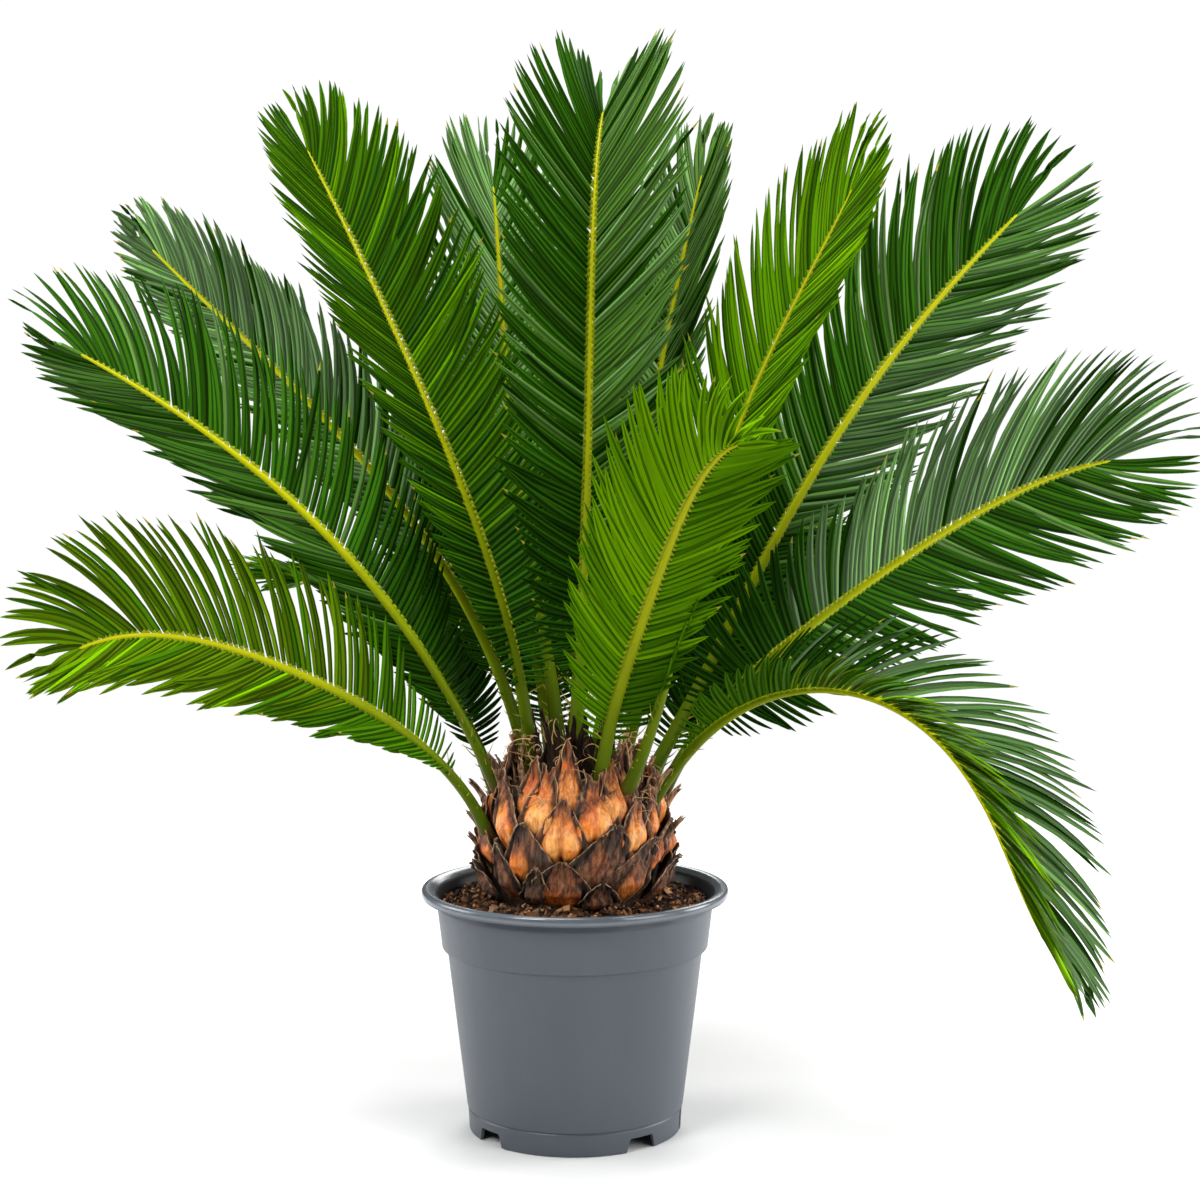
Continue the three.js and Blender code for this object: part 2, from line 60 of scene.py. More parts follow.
camera = bpy.data.objects.new("camera", bpy.data.cameras.new("camera"))
bpy.context.scene.collection.objects.link(camera)
camera.location = STANDS_AT
camera.rotation_euler = (math.radians(90 - LOOKS_DOWN), 0, 0)
camera.data.sensor_width = SENSOR
camera.data.lens = LENS
bpy.context.scene.camera = camera
print("camera lens", camera.data.lens, "mm")

# %% [markdown]
# ## Studio
# The plant stands in a bright white studio. The floor could be a curved paper sweep, but one wide pale plane
# before a white sky looks the same and throws the same light up into the crown. The sky only looks bright: if
# it lit the plant too, it would wash out the dark between the leaflets. The light comes from soft lamps: a
# key at the upper left, a weaker fill at the right, one above, one behind and one to each side for the edges.

# %% Lay the floor
FLOOR_HALF = 1.7  # metres
FLOOR_DROP = 0.0004  # metres, so that it never flickers against the pot's underside
FLOOR_GREY, FLOOR_ROUGHNESS = 0.86, 0.9

pale_floor = bpy.data.materials.new("pale_floor")
pale_floor.use_nodes = True
shader = pale_floor.node_tree.nodes["Principled BSDF"]
shader.inputs["Base Color"].default_value = (FLOOR_GREY, FLOOR_GREY, FLOOR_GREY, 1)
shader.inputs["Roughness"].default_value = FLOOR_ROUGHNESS
floor_mesh = bpy.data.meshes.new("floor")
floor_mesh.from_pydata(
    [(x * FLOOR_HALF, y * FLOOR_HALF, -FLOOR_DROP) for x, y in ((-1, -1), (1, -1), (1, 1), (-1, 1))],
    [], [(0, 1, 2, 3)],
)
floor_mesh.materials.append(pale_floor)
floor = bpy.data.objects.new("floor", floor_mesh)
bpy.context.scene.collection.objects.link(floor)
print("floor", 2 * FLOOR_HALF, "m wide")

# %% Hang the lamps
# of each soft square lamp: its place, the height of its target on the plant's axis, its size and its watts
LAMPS = {
    "key_lamp": ((-1.5, -1.9, 2.3), 0.5, 1.1, 45),
    "fill_lamp": ((2.2, -1.6, 1.3), 0.5, 1.6, 34),
    "top_lamp": ((0.0, 0.1, 2.8), 0.4, 1.8, 76),
    "back_lamp": ((0.3, 2.4, 1.9), 0.6, 1.5, 46),
    "left_lamp": ((-2.3, 0.35, 0.95), 0.4, 1.3, 27),
    "right_lamp": ((2.3, 0.35, 0.95), 0.4, 1.3, 46),
}

for name, (place, height, size, watts) in LAMPS.items():
    light = bpy.data.lights.new(name, "AREA")
    light.shape = "SQUARE"
    light.size = size
    light.energy = watts
    lamp = bpy.data.objects.new(name, light)
    lamp.location = place
    gaze = np.array((0, 0, height)) - np.array(place)
    flat = math.hypot(gaze[0], gaze[1])
    lamp.rotation_euler = (math.atan2(flat, -gaze[2]), 0, math.atan2(gaze[1], gaze[0]) - math.pi / 2)
    bpy.context.scene.collection.objects.link(lamp)
print(len(bpy.data.lights), "lamps")

# %% Put up the white sky
SKY_LIGHT = 0.08  # how strongly the sky lights the plant
SKY_SEEN = 1.02  # how bright it looks behind the plant

sky = bpy.data.worlds.new("white_sky")
sky.use_nodes = True
nodes, links = sky.node_tree.nodes, sky.node_tree.links
ray, mix = nodes.new("ShaderNodeLightPath"), nodes.new("ShaderNodeMixShader")
links.new(ray.outputs["Is Camera Ray"], mix.inputs[0])
for glow, strength, socket in (
    (nodes["Background"], SKY_LIGHT, mix.inputs[1]),
    (nodes.new("ShaderNodeBackground"), SKY_SEEN, mix.inputs[2]),
):
    glow.inputs["Color"].default_value = (1, 1, 1, 1)
    glow.inputs["Strength"].default_value = strength
    links.new(glow.outputs[0], socket)
links.new(mix.outputs[0], nodes["World Output"].inputs["Surface"])
bpy.context.scene.world = sky
bpy.context.scene.view_settings.view_transform = "Standard"
print("the sky looks", round(SKY_SEEN / SKY_LIGHT), "times as bright as it lights")

# %% [markdown]
# ## Helpers for every piece
# A piece is a mesh made from a list of points and faces. Blender can sculpt or subdivide one, but a plant is
# thousands of like parts, and code that computes their corners is the quickest way to lay them all out. Each
# piece rides on the plant's one body and hides the plain solid that it stands for. Every new piece prints how
# many faces it has.

# %% Build and hand over a piece
def make_piece(name, points, faces, finishes, dealt=None, crease=None):
    """A smooth mesh from points in millimetres. dealt gives each face its finish's number."""
    mesh = bpy.data.meshes.new(name)
    mesh.from_pydata((np.asarray(points, float) * MM).tolist(), [], [tuple(face) for face in faces])
    for finish in finishes:
        mesh.materials.append(finish.material)
    if dealt is not None:
        mesh.polygons.foreach_set("material_index", np.asarray(dealt, np.int32))
    mesh.shade_smooth()
    if crease is not None:
        mesh.set_sharp_from_angle(angle=math.radians(crease))
    mesh.update()
    piece = bpy.data.objects.new(name, mesh)
    bpy.context.scene.collection.objects.link(piece)
    return piece


def joined(parts):
    """One list of points and faces from several."""
    points, faces, start = [], [], 0
    for part_points, part_faces in parts:
        points.append(np.asarray(part_points, float))
        faces.extend(tuple(start + k for k in face) for face in part_faces)
        start += len(part_points)
    return np.vstack(points), faces


def apply_modifiers(piece):
    """Turns what the modifiers make of the piece into its mesh."""
    depsgraph = bpy.context.evaluated_depsgraph_get()
    mesh = bpy.data.meshes.new_from_object(piece.evaluated_get(depsgraph))
    piece.modifiers.clear()
    piece.data = mesh


def carry(piece, value, numbers):
    """Gives every point of the piece a number, which its finish can read."""
    layer = piece.data.attributes.new(value, "FLOAT", "POINT")
    layer.data.foreach_set("value", np.asarray(numbers, np.float32))


def hand_over(piece, slot, *nodes):
    """Puts the piece on the plant's body, in place of plain solids. Its slot is not used."""
    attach(piece, "root")
    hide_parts(*nodes)
    print(piece.name, "has", len(piece.data.polygons), "faces")


# %% [markdown]
# ## Helper for every finish
# A finish is a material of nodes. An image could be wrapped round each piece, but noise that is computed in
# the piece's own space needs no unwrapping and shows no seam. All the finishes here are made of the same few
# parts: noise, colours looked up by it, numbers that the points carry, and small bumps.

# %% Patterned finishes
class Finish:
    """A material of nodes. Most methods add a few nodes and return the output that the next one reads."""

    def __init__(self, name, roughness=0.6, gloss=0.5):
        self.material = bpy.data.materials.new(name)
        self.material.use_nodes = True
        self.nodes, self.links = self.material.node_tree.nodes, self.material.node_tree.links
        self.shader = self.nodes["Principled BSDF"]
        self.roughness(roughness)
        self.feed(self.shader.inputs["Specular IOR Level"], gloss)

    def feed(self, socket, value):
        """Puts a number, a colour or another node's output in a socket."""
        if isinstance(value, (int, float)):
            socket.default_value = value
        elif isinstance(value, tuple):
            socket.default_value = (*value, 1)
        else:
            self.links.new(value, socket)

    def colour(self, value):
        self.feed(self.shader.inputs["Base Color"], value)

    def roughness(self, value):
        self.feed(self.shader.inputs["Roughness"], value)

    def carried(self, value):
        """The number that every point carries under that name."""
        node = self.nodes.new("ShaderNodeAttribute")
        node.attribute_name = value
        return node.outputs["Fac"]

    def speckle(self, scale, detail=4, stretch=(1, 1, 1)):
        """Cloudy noise fixed to the piece. The scale counts its patches in a metre."""
        place = self.nodes.new("ShaderNodeTexCoord")
        mapping = self.nodes.new("ShaderNodeMapping")
        mapping.inputs["Scale"].default_value = stretch
        texture = self.nodes.new("ShaderNodeTexNoise")
        texture.inputs["Scale"].default_value = scale
        texture.inputs["Detail"].default_value = detail
        self.links.new(place.outputs["Object"], mapping.inputs["Vector"])
        self.links.new(mapping.outputs["Vector"], texture.inputs["Vector"])
        return texture.outputs["Fac"]

    def band(self, factor, *stops):
        """Colours along a factor from 0 to 1."""
        ramp = self.nodes.new("ShaderNodeValToRGB")
        while len(ramp.color_ramp.elements) < len(stops):
            ramp.color_ramp.elements.new(0.5)
        for element, (position, colour) in zip(ramp.color_ramp.elements, stops):
            element.position = position
            element.color = (*colour, 1)
        self.links.new(factor, ramp.inputs["Fac"])
        return ramp.outputs["Color"]

    def spread(self, factor, low, high, from_low=0.3, from_high=0.7):
        """The factor stretched to run from low to high."""
        node = self.nodes.new("ShaderNodeMapRange")
        self.links.new(factor, node.inputs["Value"])
        limits = {"From Min": from_low, "From Max": from_high, "To Min": low, "To Max": high}
        for socket, value in limits.items():
            node.inputs[socket].default_value = value
        return node.outputs["Result"]

    def maths(self, operation, *values):
        node = self.nodes.new("ShaderNodeMath")
        node.operation = operation
        for socket, value in zip(node.inputs, values):
            self.feed(socket, value)
        return node.outputs[0]

    def blend(self, factor, first, second, how="MIX"):
        """The second colour over the first, as strongly as the factor says."""
        node = self.nodes.new("ShaderNodeMix")
        node.data_type = "RGBA"
        node.blend_type = how
        for socket, value in (("Factor", factor), ("A", first), ("B", second)):
            self.links.new(value, node.inputs[socket])
        return node.outputs["Result"]

    def relief(self, height, strength, distance):
        """Small bumps of the surface from a height, the distance in metres."""
        bump = self.nodes.new("ShaderNodeBump")
        bump.inputs["Strength"].default_value = strength
        bump.inputs["Distance"].default_value = distance
        self.links.new(height, bump.inputs["Height"])
        self.links.new(bump.outputs["Normal"], self.shader.inputs["Normal"])


print("a finish can:", *(name for name in vars(Finish) if not name.startswith("_")))

# %% [markdown]
# ## Pot
# A nursery pot is thin plastic, blown or pressed in a mould: a rolled lip, a band below it, one step, and a
# foot ring with notches that let the water out. Every ring of it is round, so its wall is one outline turned
# about the axis. Blender's Screw modifier could turn it. Here the rings are laid out by a loop, because the
# corners of the outline are rounded first, each by its own radius. The notches are cut with a Boolean.

# %% The pot's outline
POT_TOP = 214.5
LIP_FOOT = 205.5
STEP = 162
FOOT_TOP = 21
CHANNEL = 12.5
WALL = 2.3

# radius, height and rounding of each corner, from the middle of the underside out, up, over the lip and down
POT_CORNERS = [
    (60, 0, 1.5), (65, CHANNEL, 2), (89.5, CHANNEL, 1.5), (91, 0, 0.6), (93.5, 0, 0.8),
    (94.6, FOOT_TOP - 2.4, 0.7), (93.6, FOOT_TOP - 1.2, 0.3), (95.3, FOOT_TOP, 0.5),
    (112, STEP - 5, 2.2), (113.4, STEP - 1.6, 1.0), (116.8, STEP - 0.2, 1.2),
    (121.2, LIP_FOOT - 7, 1.5), (119.9, LIP_FOOT, 0.6), (133.6, LIP_FOOT + 0.4, 1.0),
    (135, LIP_FOOT + 3.6, 2.0), (134.2, POT_TOP - 0.6, 2.4),
    (128.6, POT_TOP, 3.2), (121.4, LIP_FOOT + 3.4, 2.4), (117.8, LIP_FOOT - 3, 2),
    (114.7, STEP + 2, 1.6), (109.7, STEP - 3, 1.6), (93, FOOT_TOP, 2), (90.5, CHANNEL + WALL, 1.5),
    (65, CHANNEL + WALL, 2), (60, WALL, 1.5),
]
ARC_STEPS = 5


def rounded(corners):
    """The outline with a small arc in place of each corner."""
    outline = []
    for i, (radius, height, cut) in enumerate(corners):
        corner = np.array([radius, height], float)
        before = np.array(corners[i - 1][:2] if i else (0, corners[0][1]), float)
        after = np.array(corners[i + 1][:2] if i + 1 < len(corners) else (0, corners[-1][1]), float)
        arms = []
        for end in (before, after):
            reach = np.linalg.norm(end - corner)
            arms.append(corner + (end - corner) / reach * min(cut, reach * 0.45))
        for t in np.linspace(0, 1, ARC_STEPS):
            outline.append((1 - t) ** 2 * arms[0] + 2 * t * (1 - t) * corner + t ** 2 * arms[1])
    return np.array(outline)


pot_outline = rounded(POT_CORNERS)
print(len(pot_outline), "points in the pot's outline")

# %% Turn the pot
POT_SECTORS = 144


def turned(outline, sectors):
    """Points and faces of an outline turned about the axis, closed at the axis at both ends."""
    angles = np.arange(sectors) * 2 * math.pi / sectors
    rings = np.stack([
        outline[:, :1] * np.cos(angles), outline[:, :1] * np.sin(angles),
        np.repeat(outline[:, 1:], sectors, axis=1),
    ], axis=-1)
    count = len(outline)
    points = np.vstack([rings.reshape(-1, 3), [(0, 0, outline[0, 1]), (0, 0, outline[-1, 1])]])
    faces = []
    for k in range(sectors):
        following = (k + 1) % sectors
        faces.append((count * sectors, following, k))
        for ring in range(count - 1):
            low, high = ring * sectors, (ring + 1) * sectors
            faces.append((low + k, low + following, high + following, high + k))
        last = (count - 1) * sectors
        faces.append((last + k, last + following, count * sectors + 1))
    return points, faces


print(len(pot_outline) * POT_SECTORS, "points on the pot's wall")

# %% [markdown]
# ## Pot plastic
# The plastic is slate grey with a satin shine and smoother on the lip. The lip's paler grey is a painted
# highlight, and the near black inside is painted shade, where little light reaches. A single grey would look
# like paint, so a fine noise moves the grey and the roughness a little, as on a moulded wall that has been
# handled, and a finer one pits the skin.

# %% Pot plastic
def pot_plastic(name, dark, light, gloss, smooth=0.34):
    finish = Finish(name, gloss=gloss)
    clouds = finish.speckle(28, 5, (1, 1, 0.35))
    finish.colour(finish.band(clouds, (0.3, dark), (0.7, light)))
    finish.roughness(finish.spread(clouds, smooth, smooth + 0.12))
    finish.relief(finish.speckle(900, 2), 0.12, 0.0003)
    return finish


# the inner finish's near black is painted shade, and the lip's paler grey is a painted highlight
POT_FINISHES = [
    pot_plastic("satin_slate_plastic", (0.060, 0.072, 0.090), (0.072, 0.084, 0.104), 0.5),
    pot_plastic("painted_shade_inner_plastic", (0.009, 0.010, 0.012), (0.014, 0.015, 0.017), 0.3),
    pot_plastic("painted_highlight_lip_plastic", (0.092, 0.108, 0.130), (0.110, 0.128, 0.152), 0.9, 0.16),
]
OUTSIDE, INSIDE, LIP = range(3)
print(len(POT_FINISHES), "finishes of the pot")

# %% Cut the notches and the mould marks
NOTCH_BEARINGS = [-141, -52, 37, 128]
NOTCH_FACE = [(-15.5, -2), (15.5, -2), (13, 9.5), (11.5, 12), (-11.5, 12), (-13, 9.5)]
NOTCH_DEPTH = (86.5, 98)  # from one radius to another
MARK_BEARINGS = [-12, 168]
MARK_FACE = [(-2.4, -1), (2.4, -1), (2.4, 17.5), (1.6, 18.6), (-1.6, 18.6), (-2.4, 17.5)]
MARK_DEPTH = (92.7, 96)


def prism(corners, bearing, inner, outer):
    """A block of that face, across and up, from one radius to another on a bearing."""
    turn = math.radians(bearing)
    points = []
    for radius in (inner, outer):
        for across, up in corners:
            points.append((
                radius * math.cos(turn) - across * math.sin(turn),
                radius * math.sin(turn) + across * math.cos(turn), up,
            ))
    n = len(corners)
    sides = [(k, (k + 1) % n, n + (k + 1) % n, n + k) for k in range(n)]
    return points, [tuple(range(n))[::-1], tuple(range(n, 2 * n)), *sides]


def cut_away(piece, cutters):
    """Takes the cutters out of the piece with a Boolean."""
    tool = make_piece("cutter", *joined(cutters), [])
    modifier = piece.modifiers.new("cut", "BOOLEAN")
    modifier.object = tool
    modifier.solver = "EXACT"
    apply_modifiers(piece)
    bpy.data.objects.remove(tool)


pot = make_piece("nursery_pot", *turned(pot_outline, POT_SECTORS), POT_FINISHES)
cut_away(pot, [prism(NOTCH_FACE, bearing, *NOTCH_DEPTH) for bearing in NOTCH_BEARINGS]
         + [prism(MARK_FACE, bearing, *MARK_DEPTH) for bearing in MARK_BEARINGS])

# height and the radius halfway through the wall, to tell the inner face from the outer
HALF_WALL = (
    [0, CHANNEL + 1, FOOT_TOP, STEP - 4, STEP + 1, LIP_FOOT - 3, LIP_FOOT + 5],
    [0, 91.5, 94, 111, 115.6, 119, 127],
)
# inner faces up to the lip take the painted shade, and the lip's faces the painted highlight
for face in pot.data.polygons:
    middle = face.center / MM
    inside = math.hypot(middle.x, middle.y) < np.interp(middle.z, *HALF_WALL)
    if inside and middle.z < LIP_FOOT + 5:
        face.material_index = INSIDE
    else:
        face.material_index = LIP if middle.z > LIP_FOOT + 2 else OUTSIDE
pot.data.shade_smooth()
pot.data.set_sharp_from_angle(angle=math.radians(38))
hand_over(pot, "pot_plastic", "pot")

# %% [markdown]
# ## Potting soil
# The pot is filled with bark compost. Its top is a rough dark bed, heaped a little against the trunk, and on
# it lie loose chips of bark and crumbs. A displaced plane alone looks like a carpet, so the bed only carries
# the soft hills and hollows, and the chips are real broken slabs, each a little different, dealt one of a few
# browns.

# %% Soil bed
SOIL_TOP = 200
SOIL_SECTORS = 216
HEAP, HEAP_RADIUS, HEAP_WIDTH = 7, 80, 13  # of the bark against the trunk's foot
rng = np.random.default_rng(23)


def waves(count, shortest, longest, seed):
    """A smooth random height over the plane, about -1 to 1: many plane waves of those lengths in mm."""
    draw = np.random.default_rng(seed)
    turn = draw.uniform(0, 2 * math.pi, count)
    length = draw.uniform(shortest, longest, count)
    phase = draw.uniform(0, 2 * math.pi, count)

    def height(x, y):
        total = 0
        for a, span, start in zip(turn, length, phase):
            total = total + np.sin((x * math.cos(a) + y * math.sin(a)) * 2 * math.pi / span + start)
        return total / math.sqrt(count)

    return height


hills = waves(9, 22, 60, 3)
lumps = waves(16, 6, 14, 4)


def soil_height(x, y):
    """Hills and lumps, and the heap."""
    heap = HEAP * np.exp(-((np.hypot(x, y) - HEAP_RADIUS) / HEAP_WIDTH) ** 2)
    return SOIL_TOP + heap + 2.6 * hills(x, y) + 1.6 * lumps(x, y)


def soil_surface():
    """Rings of points over the top, then down inside the pot's wall to its floor."""
    top = [15, 40, 58, *np.arange(62, 116.4, 2.0), 117]
    wall = [(116.8, 194), (114.4, 164.4), (109.4, 159.4), (92.7, 21), (90.2, 15.1), (64.6, 15.1), (59.6, 2.6)]
    outline = np.array([(radius, SOIL_TOP) for radius in top] + wall)[::-1]
    points, faces = turned(outline, SOIL_SECTORS)
    radius = np.hypot(points[:, 0], points[:, 1])
    on_top = points[:, 2] > SOIL_TOP - 1
    points[on_top, 2] = soil_height(points[on_top, 0], points[on_top, 1])
    points[on_top & (radius > top[-1] - 0.1), 2] -= 1.5
    return points, faces


compost = Finish("dark_bark_compost", 0.9, 0.2)
compost.colour(compost.band(
    compost.speckle(260, 6),
    (0.36, (0.006, 0.003, 0.002)), (0.5, (0.046, 0.020, 0.009)), (0.64, (0.19, 0.088, 0.040)),
))
compost.relief(compost.speckle(420, 6), 0.9, 0.0018)
hand_over(make_piece("soil_bed", *soil_surface(), [compost]), "potting_soil", "soil")

# %% Broken slabs of bark
CHIP_BROWNS = {
    "chip_black_brown": (0.016, 0.009, 0.006),
    "chip_dark_brown": (0.072, 0.029, 0.012),
    "chip_red_brown": (0.24, 0.095, 0.034),
    "chip_tan": (0.50, 0.26, 0.115),
    "chip_grey_brown": (0.20, 0.12, 0.065),
}
CHIP_SHARES = [0.3, 0.3, 0.22, 0.09, 0.09]


def dry_chip(name, brown):
    """A plain brown, with the rough skin of broken bark."""
    finish = Finish(name, 0.85, 0.25)
    finish.colour(brown)
    fibres = finish.speckle(700, 5, (1, 0.3, 1))
    finish.roughness(finish.spread(fibres, 0.7, 0.95))
    finish.relief(fibres, 0.7, 0.0006)
    return finish


def rotations(yaw, tilt, roll):
    """One rotation matrix for each set of angles in radians."""
    cy, sy, ct, st, cr, sr = np.cos(yaw), np.sin(yaw), np.cos(tilt), np.sin(tilt), np.cos(roll), np.sin(roll)
    zero, one = np.zeros_like(yaw), np.ones_like(yaw)
    about_z = np.stack([cy, -sy, zero, sy, cy, zero, zero, zero, one], -1).reshape(-1, 3, 3)
    about_y = np.stack([ct, zero, st, zero, one, zero, -st, zero, ct], -1).reshape(-1, 3, 3)
    about_x = np.stack([one, zero, zero, zero, cr, -sr, zero, sr, cr], -1).reshape(-1, 3, 3)
    return about_z @ about_y @ about_x


def broken_slabs(centres, lengths, widths, depths, lean):
    """Six-sided slabs with uneven corners, one at each centre."""
    count = len(centres)
    angle = np.arange(6) * math.pi / 3 + rng.uniform(-0.35, 0.35, (count, 6))
    out = rng.uniform(0.7, 1.15, (count, 6))
    corners = []
    for level, pinch in ((-0.5, 0.86), (0.5, 1.0)):
        x = np.cos(angle) * out * pinch * lengths[:, None] / 2
        y = np.sin(angle) * out * pinch * widths[:, None] / 2
        z = (level + rng.uniform(-0.22, 0.22, (count, 6))) * depths[:, None]
        corners.append(np.stack([x, y, z], -1))
    points = np.concatenate(corners, axis=1)
    turns = rotations(
        rng.uniform(0, 2 * math.pi, count), rng.normal(0, lean, count), rng.normal(0, lean, count),
    )
    points = np.einsum("nij,nkj->nki", turns, points) + centres[:, None, :]
    faces = []
    for base in range(0, 12 * count, 12):
        faces.append(tuple(base + k for k in range(5, -1, -1)))
        faces.append(tuple(base + 6 + k for k in range(6)))
        faces.extend((base + k, base + (k + 1) % 6, base + 6 + (k + 1) % 6, base + 6 + k) for k in range(6))
    return points.reshape(-1, 3), faces


print(len(CHIP_BROWNS), "browns of bark")

# %% Scatter chips and crumbs
CHIPS, CRUMBS = 620, 1900


def scatter(count, inner, outer, sink):
    """Places on the soil, spread evenly over a ring."""
    radius = np.sqrt(rng.uniform(inner ** 2, outer ** 2, count))
    angle = rng.uniform(0, 2 * math.pi, count)
    x, y = radius * np.cos(angle), radius * np.sin(angle)
    return np.stack([x, y, soil_height(x, y) - sink + rng.uniform(0, 3.2, count)], -1)


chip_length = rng.uniform(5, 15, CHIPS)
crumb_length = rng.uniform(1.5, 4.4, CRUMBS)
chip_parts = joined([
    broken_slabs(scatter(CHIPS, inner=70, outer=110, sink=1.2), chip_length,
                 chip_length * rng.uniform(0.3, 0.6, CHIPS), rng.uniform(1.6, 4, CHIPS), lean=0.55),
    broken_slabs(scatter(CRUMBS, inner=66, outer=116, sink=0.6), crumb_length,
                 crumb_length * rng.uniform(0.5, 0.9, CRUMBS), crumb_length * rng.uniform(0.3, 0.6, CRUMBS),
                 lean=0.5),
])
chip_colours = rng.choice(len(CHIP_SHARES), CHIPS + CRUMBS, p=CHIP_SHARES)
chips = make_piece(
    "bark_chips", *chip_parts, [dry_chip(name, brown) for name, brown in CHIP_BROWNS.items()],
    dealt=np.repeat(chip_colours, 8), crease=30,
)
hand_over(chips, "potting_soil", "soil")

# %% [markdown]
# ## How a frond grows
# A frond is one stiff rib with a row of narrow leaflets on either side. The rib rises from the crown, and its
# climb, in degrees above level, changes smoothly through four values from foot to tip. The leaflets stand
# nearly square to the rib at its foot and lie closer and closer to it towards the tip. The plain solids
# follow the same rule with a few wide leaflets, so the fine ones below fill the same space. Curves bent by
# hand could look as good, but then nothing would hold them to the solids.

# %% The fronds
# slot: the frond's material slot. root: bearing, radius and height of the stalk's foot. bearing
# and sweep: where the rib points, and how far that turns. climb: degrees above level. twist: of the blade
# about its rib. lift: of the leaflets out of the blade. spread: how wide they stand. leaflet: the longest.
# The last three hold a value for each row of leaflets, the left one first
MEASURES = ("slot", "root", "bearing", "sweep", "length", "climb", "twist", "lift", "spread", "leaflet")
FRONDS = {name: dict(zip(MEASURES, row)) for name, row in {
    "frond_front": ("frond_bright_green", (-64, 50, 300), -64, -3, 405, (84, 55, 49, 9), 0,
        (-24, 25), (0.95, 0.83), (92, 136)),
    "frond_arch": ("frond_deep_green", (-10, 66, 284), -10, -11, 488, (60, 14, -50, -60), 35,
        (19, 64), (0.84, 1.3), (137, 106)),
    "frond_low_left": ("frond_green", (200, 83, 272), 203, 30, 443, (66, 32, 18, -15), -66,
        (4, 18), (0.77, 1.2), (107, 121)),
    "frond_wide_left": ("frond_green", (186, 67, 298), 200, -22, 526, (66, 54, 40, 29), -43,
        (-50, 12), (0.66, 1.28), (98, 144)),
    "frond_bright_right": ("frond_bright_green", (-46, 66, 308), -45, -6, 550, (57, 71, 59, 55), 66,
        (31, -4), (0.95, 0.76), (114, 104)),
    "frond_wide_right": ("frond_deep_green", (16, 86, 302), 20, -12, 515, (61, 37, 30, 10), 92,
        (32, -22), (1.42, 1.1), (160, 160)),
    "frond_tall_right": ("frond_deep_green", (32, 78, 304), 36, -16, 654, (52, 57, 50, 43), 84,
        (-7, -16), (1.05, 0.91), (163, 170)),
    "frond_tall_left": ("frond_green", (165, 38, 306), 138, 0, 648, (85, 64, 57, 54), -8,
        (21, 52), (1.3, 1.2), (108, 130)),
    "frond_centre": ("frond_green", (-90, 8, 316), 81, 2, 629, (78, 76, 81, 34), -5,
        (55, 35), (1.3, 1.28), (134, 148)),
    "frond_shaded_left": ("frond_deep_green", (135, 62, 318), 150, 4, 634, (75, 51, 40, 41), -25,
        (-56, 52), (0.7, 0.96), (100, 113)),
    "frond_back_right": ("frond_deep_green", (66, 48, 325), 68, -8, 580, (64, 68, 67, 64), -12,
        (14, 16), (0.9, 0.8), (128, 110)),
    "frond_back_left": ("frond_deep_green", (108, 50, 330), 112, -3, 548, (79, 62, 75, 73), 0,
        (20, 14), (0.95, 1), (130, 128)),
    "frond_low_right": ("frond_green", (38, 80, 280), 44, -14, 400, (66, 42, 18, -14), 30,
        (16, 16), (0.9, 0.9), (124, 124)),
    "frond_rear_low": ("frond_green", (105, 74, 282), 104, 0, 520, (66, 44, 22, -4), 0,
        (16, 16), (1, 1), (140, 140)),
    "frond_rear_right": ("frond_green", (60, 76, 286), 66, 0, 500, (62, 38, 14, -14), 0,
        (16, 16), (1, 1), (138, 138)),
    "frond_rear_left": ("frond_green", (150, 78, 278), 128, -6, 450, (60, 36, 14, -10), 0,
        (16, 16), (0.9, 0.9), (130, 130)),
    "frond_rear_tall": ("frond_green", (88, 66, 300), 92, 0, 600, (72, 62, 48, 30), 0,
        (16, 16), (1, 1), (142, 142)),
}.items()}


def nodes_of(name):
    """The plain solids that a frond stands for. The arching one is split at its bend."""
    return ("frond_arch_stalk", "frond_arch_tip") if name == "frond_arch" else (name,)


print(len(FRONDS), "fronds")

# %% The rib's line and the blade's own directions
UP = np.array([0.0, 0.0, 1.0])
RIB_STEPS = 96
TWIST_DONE = 0.35  # share of the rib over which the blade turns to its full twist


def through_four(values, s):
    """A cubic through four values at 0, 1/3, 2/3 and 1."""
    a, b, c, d = values
    t = 3 * s
    return (-a * (t - 1) * (t - 2) * (t - 3) / 6 + b * t * (t - 2) * (t - 3) / 2
            - c * t * (t - 1) * (t - 3) / 2 + d * t * (t - 1) * (t - 2) / 6)


def around(bearing, radius, height):
    """The point on a bearing, at a radius from the axis and a height."""
    turn = np.radians(bearing)
    place = np.broadcast_arrays(radius * np.cos(turn), radius * np.sin(turn), height)
    return np.stack(place, -1).astype(float)


def unit(vectors):
    return vectors / np.linalg.norm(vectors, axis=-1, keepdims=True)


def direction_at(frond, s):
    climb = np.radians(through_four(frond["climb"], s))
    bearing = np.radians(frond["bearing"] + frond["sweep"] * s)
    return np.stack([np.cos(climb) * np.cos(bearing), np.cos(climb) * np.sin(bearing), np.sin(climb)], -1)


def rib_line(frond):
    steps = direction_at(frond, (np.arange(RIB_STEPS) + 0.5) / RIB_STEPS) * frond["length"] / RIB_STEPS
    return around(*frond["root"]) + np.vstack([np.zeros(3), np.cumsum(steps, axis=0)])


def blade_frame(frond, s):
    """Place, direction, side and upper face of the blade at shares s of the rib."""
    ahead = np.clip(s, 0, 1)
    steps, line = np.arange(RIB_STEPS + 1), rib_line(frond)
    place = np.stack([np.interp(ahead * RIB_STEPS, steps, line[:, k]) for k in range(3)], -1)
    along = direction_at(frond, ahead)
    place = place + along * (np.minimum(s, 0) * frond["length"])[:, None]
    level = around(frond["bearing"] + frond["sweep"] * ahead + 90, 1, 0)
    face = np.cross(along, level)
    twist = np.radians(frond["twist"] * np.clip(s / TWIST_DONE, 0, 1))[:, None]
    side = level * np.cos(twist) + face * np.sin(twist)
    return place, along, side, face * np.cos(twist) - level * np.sin(twist)


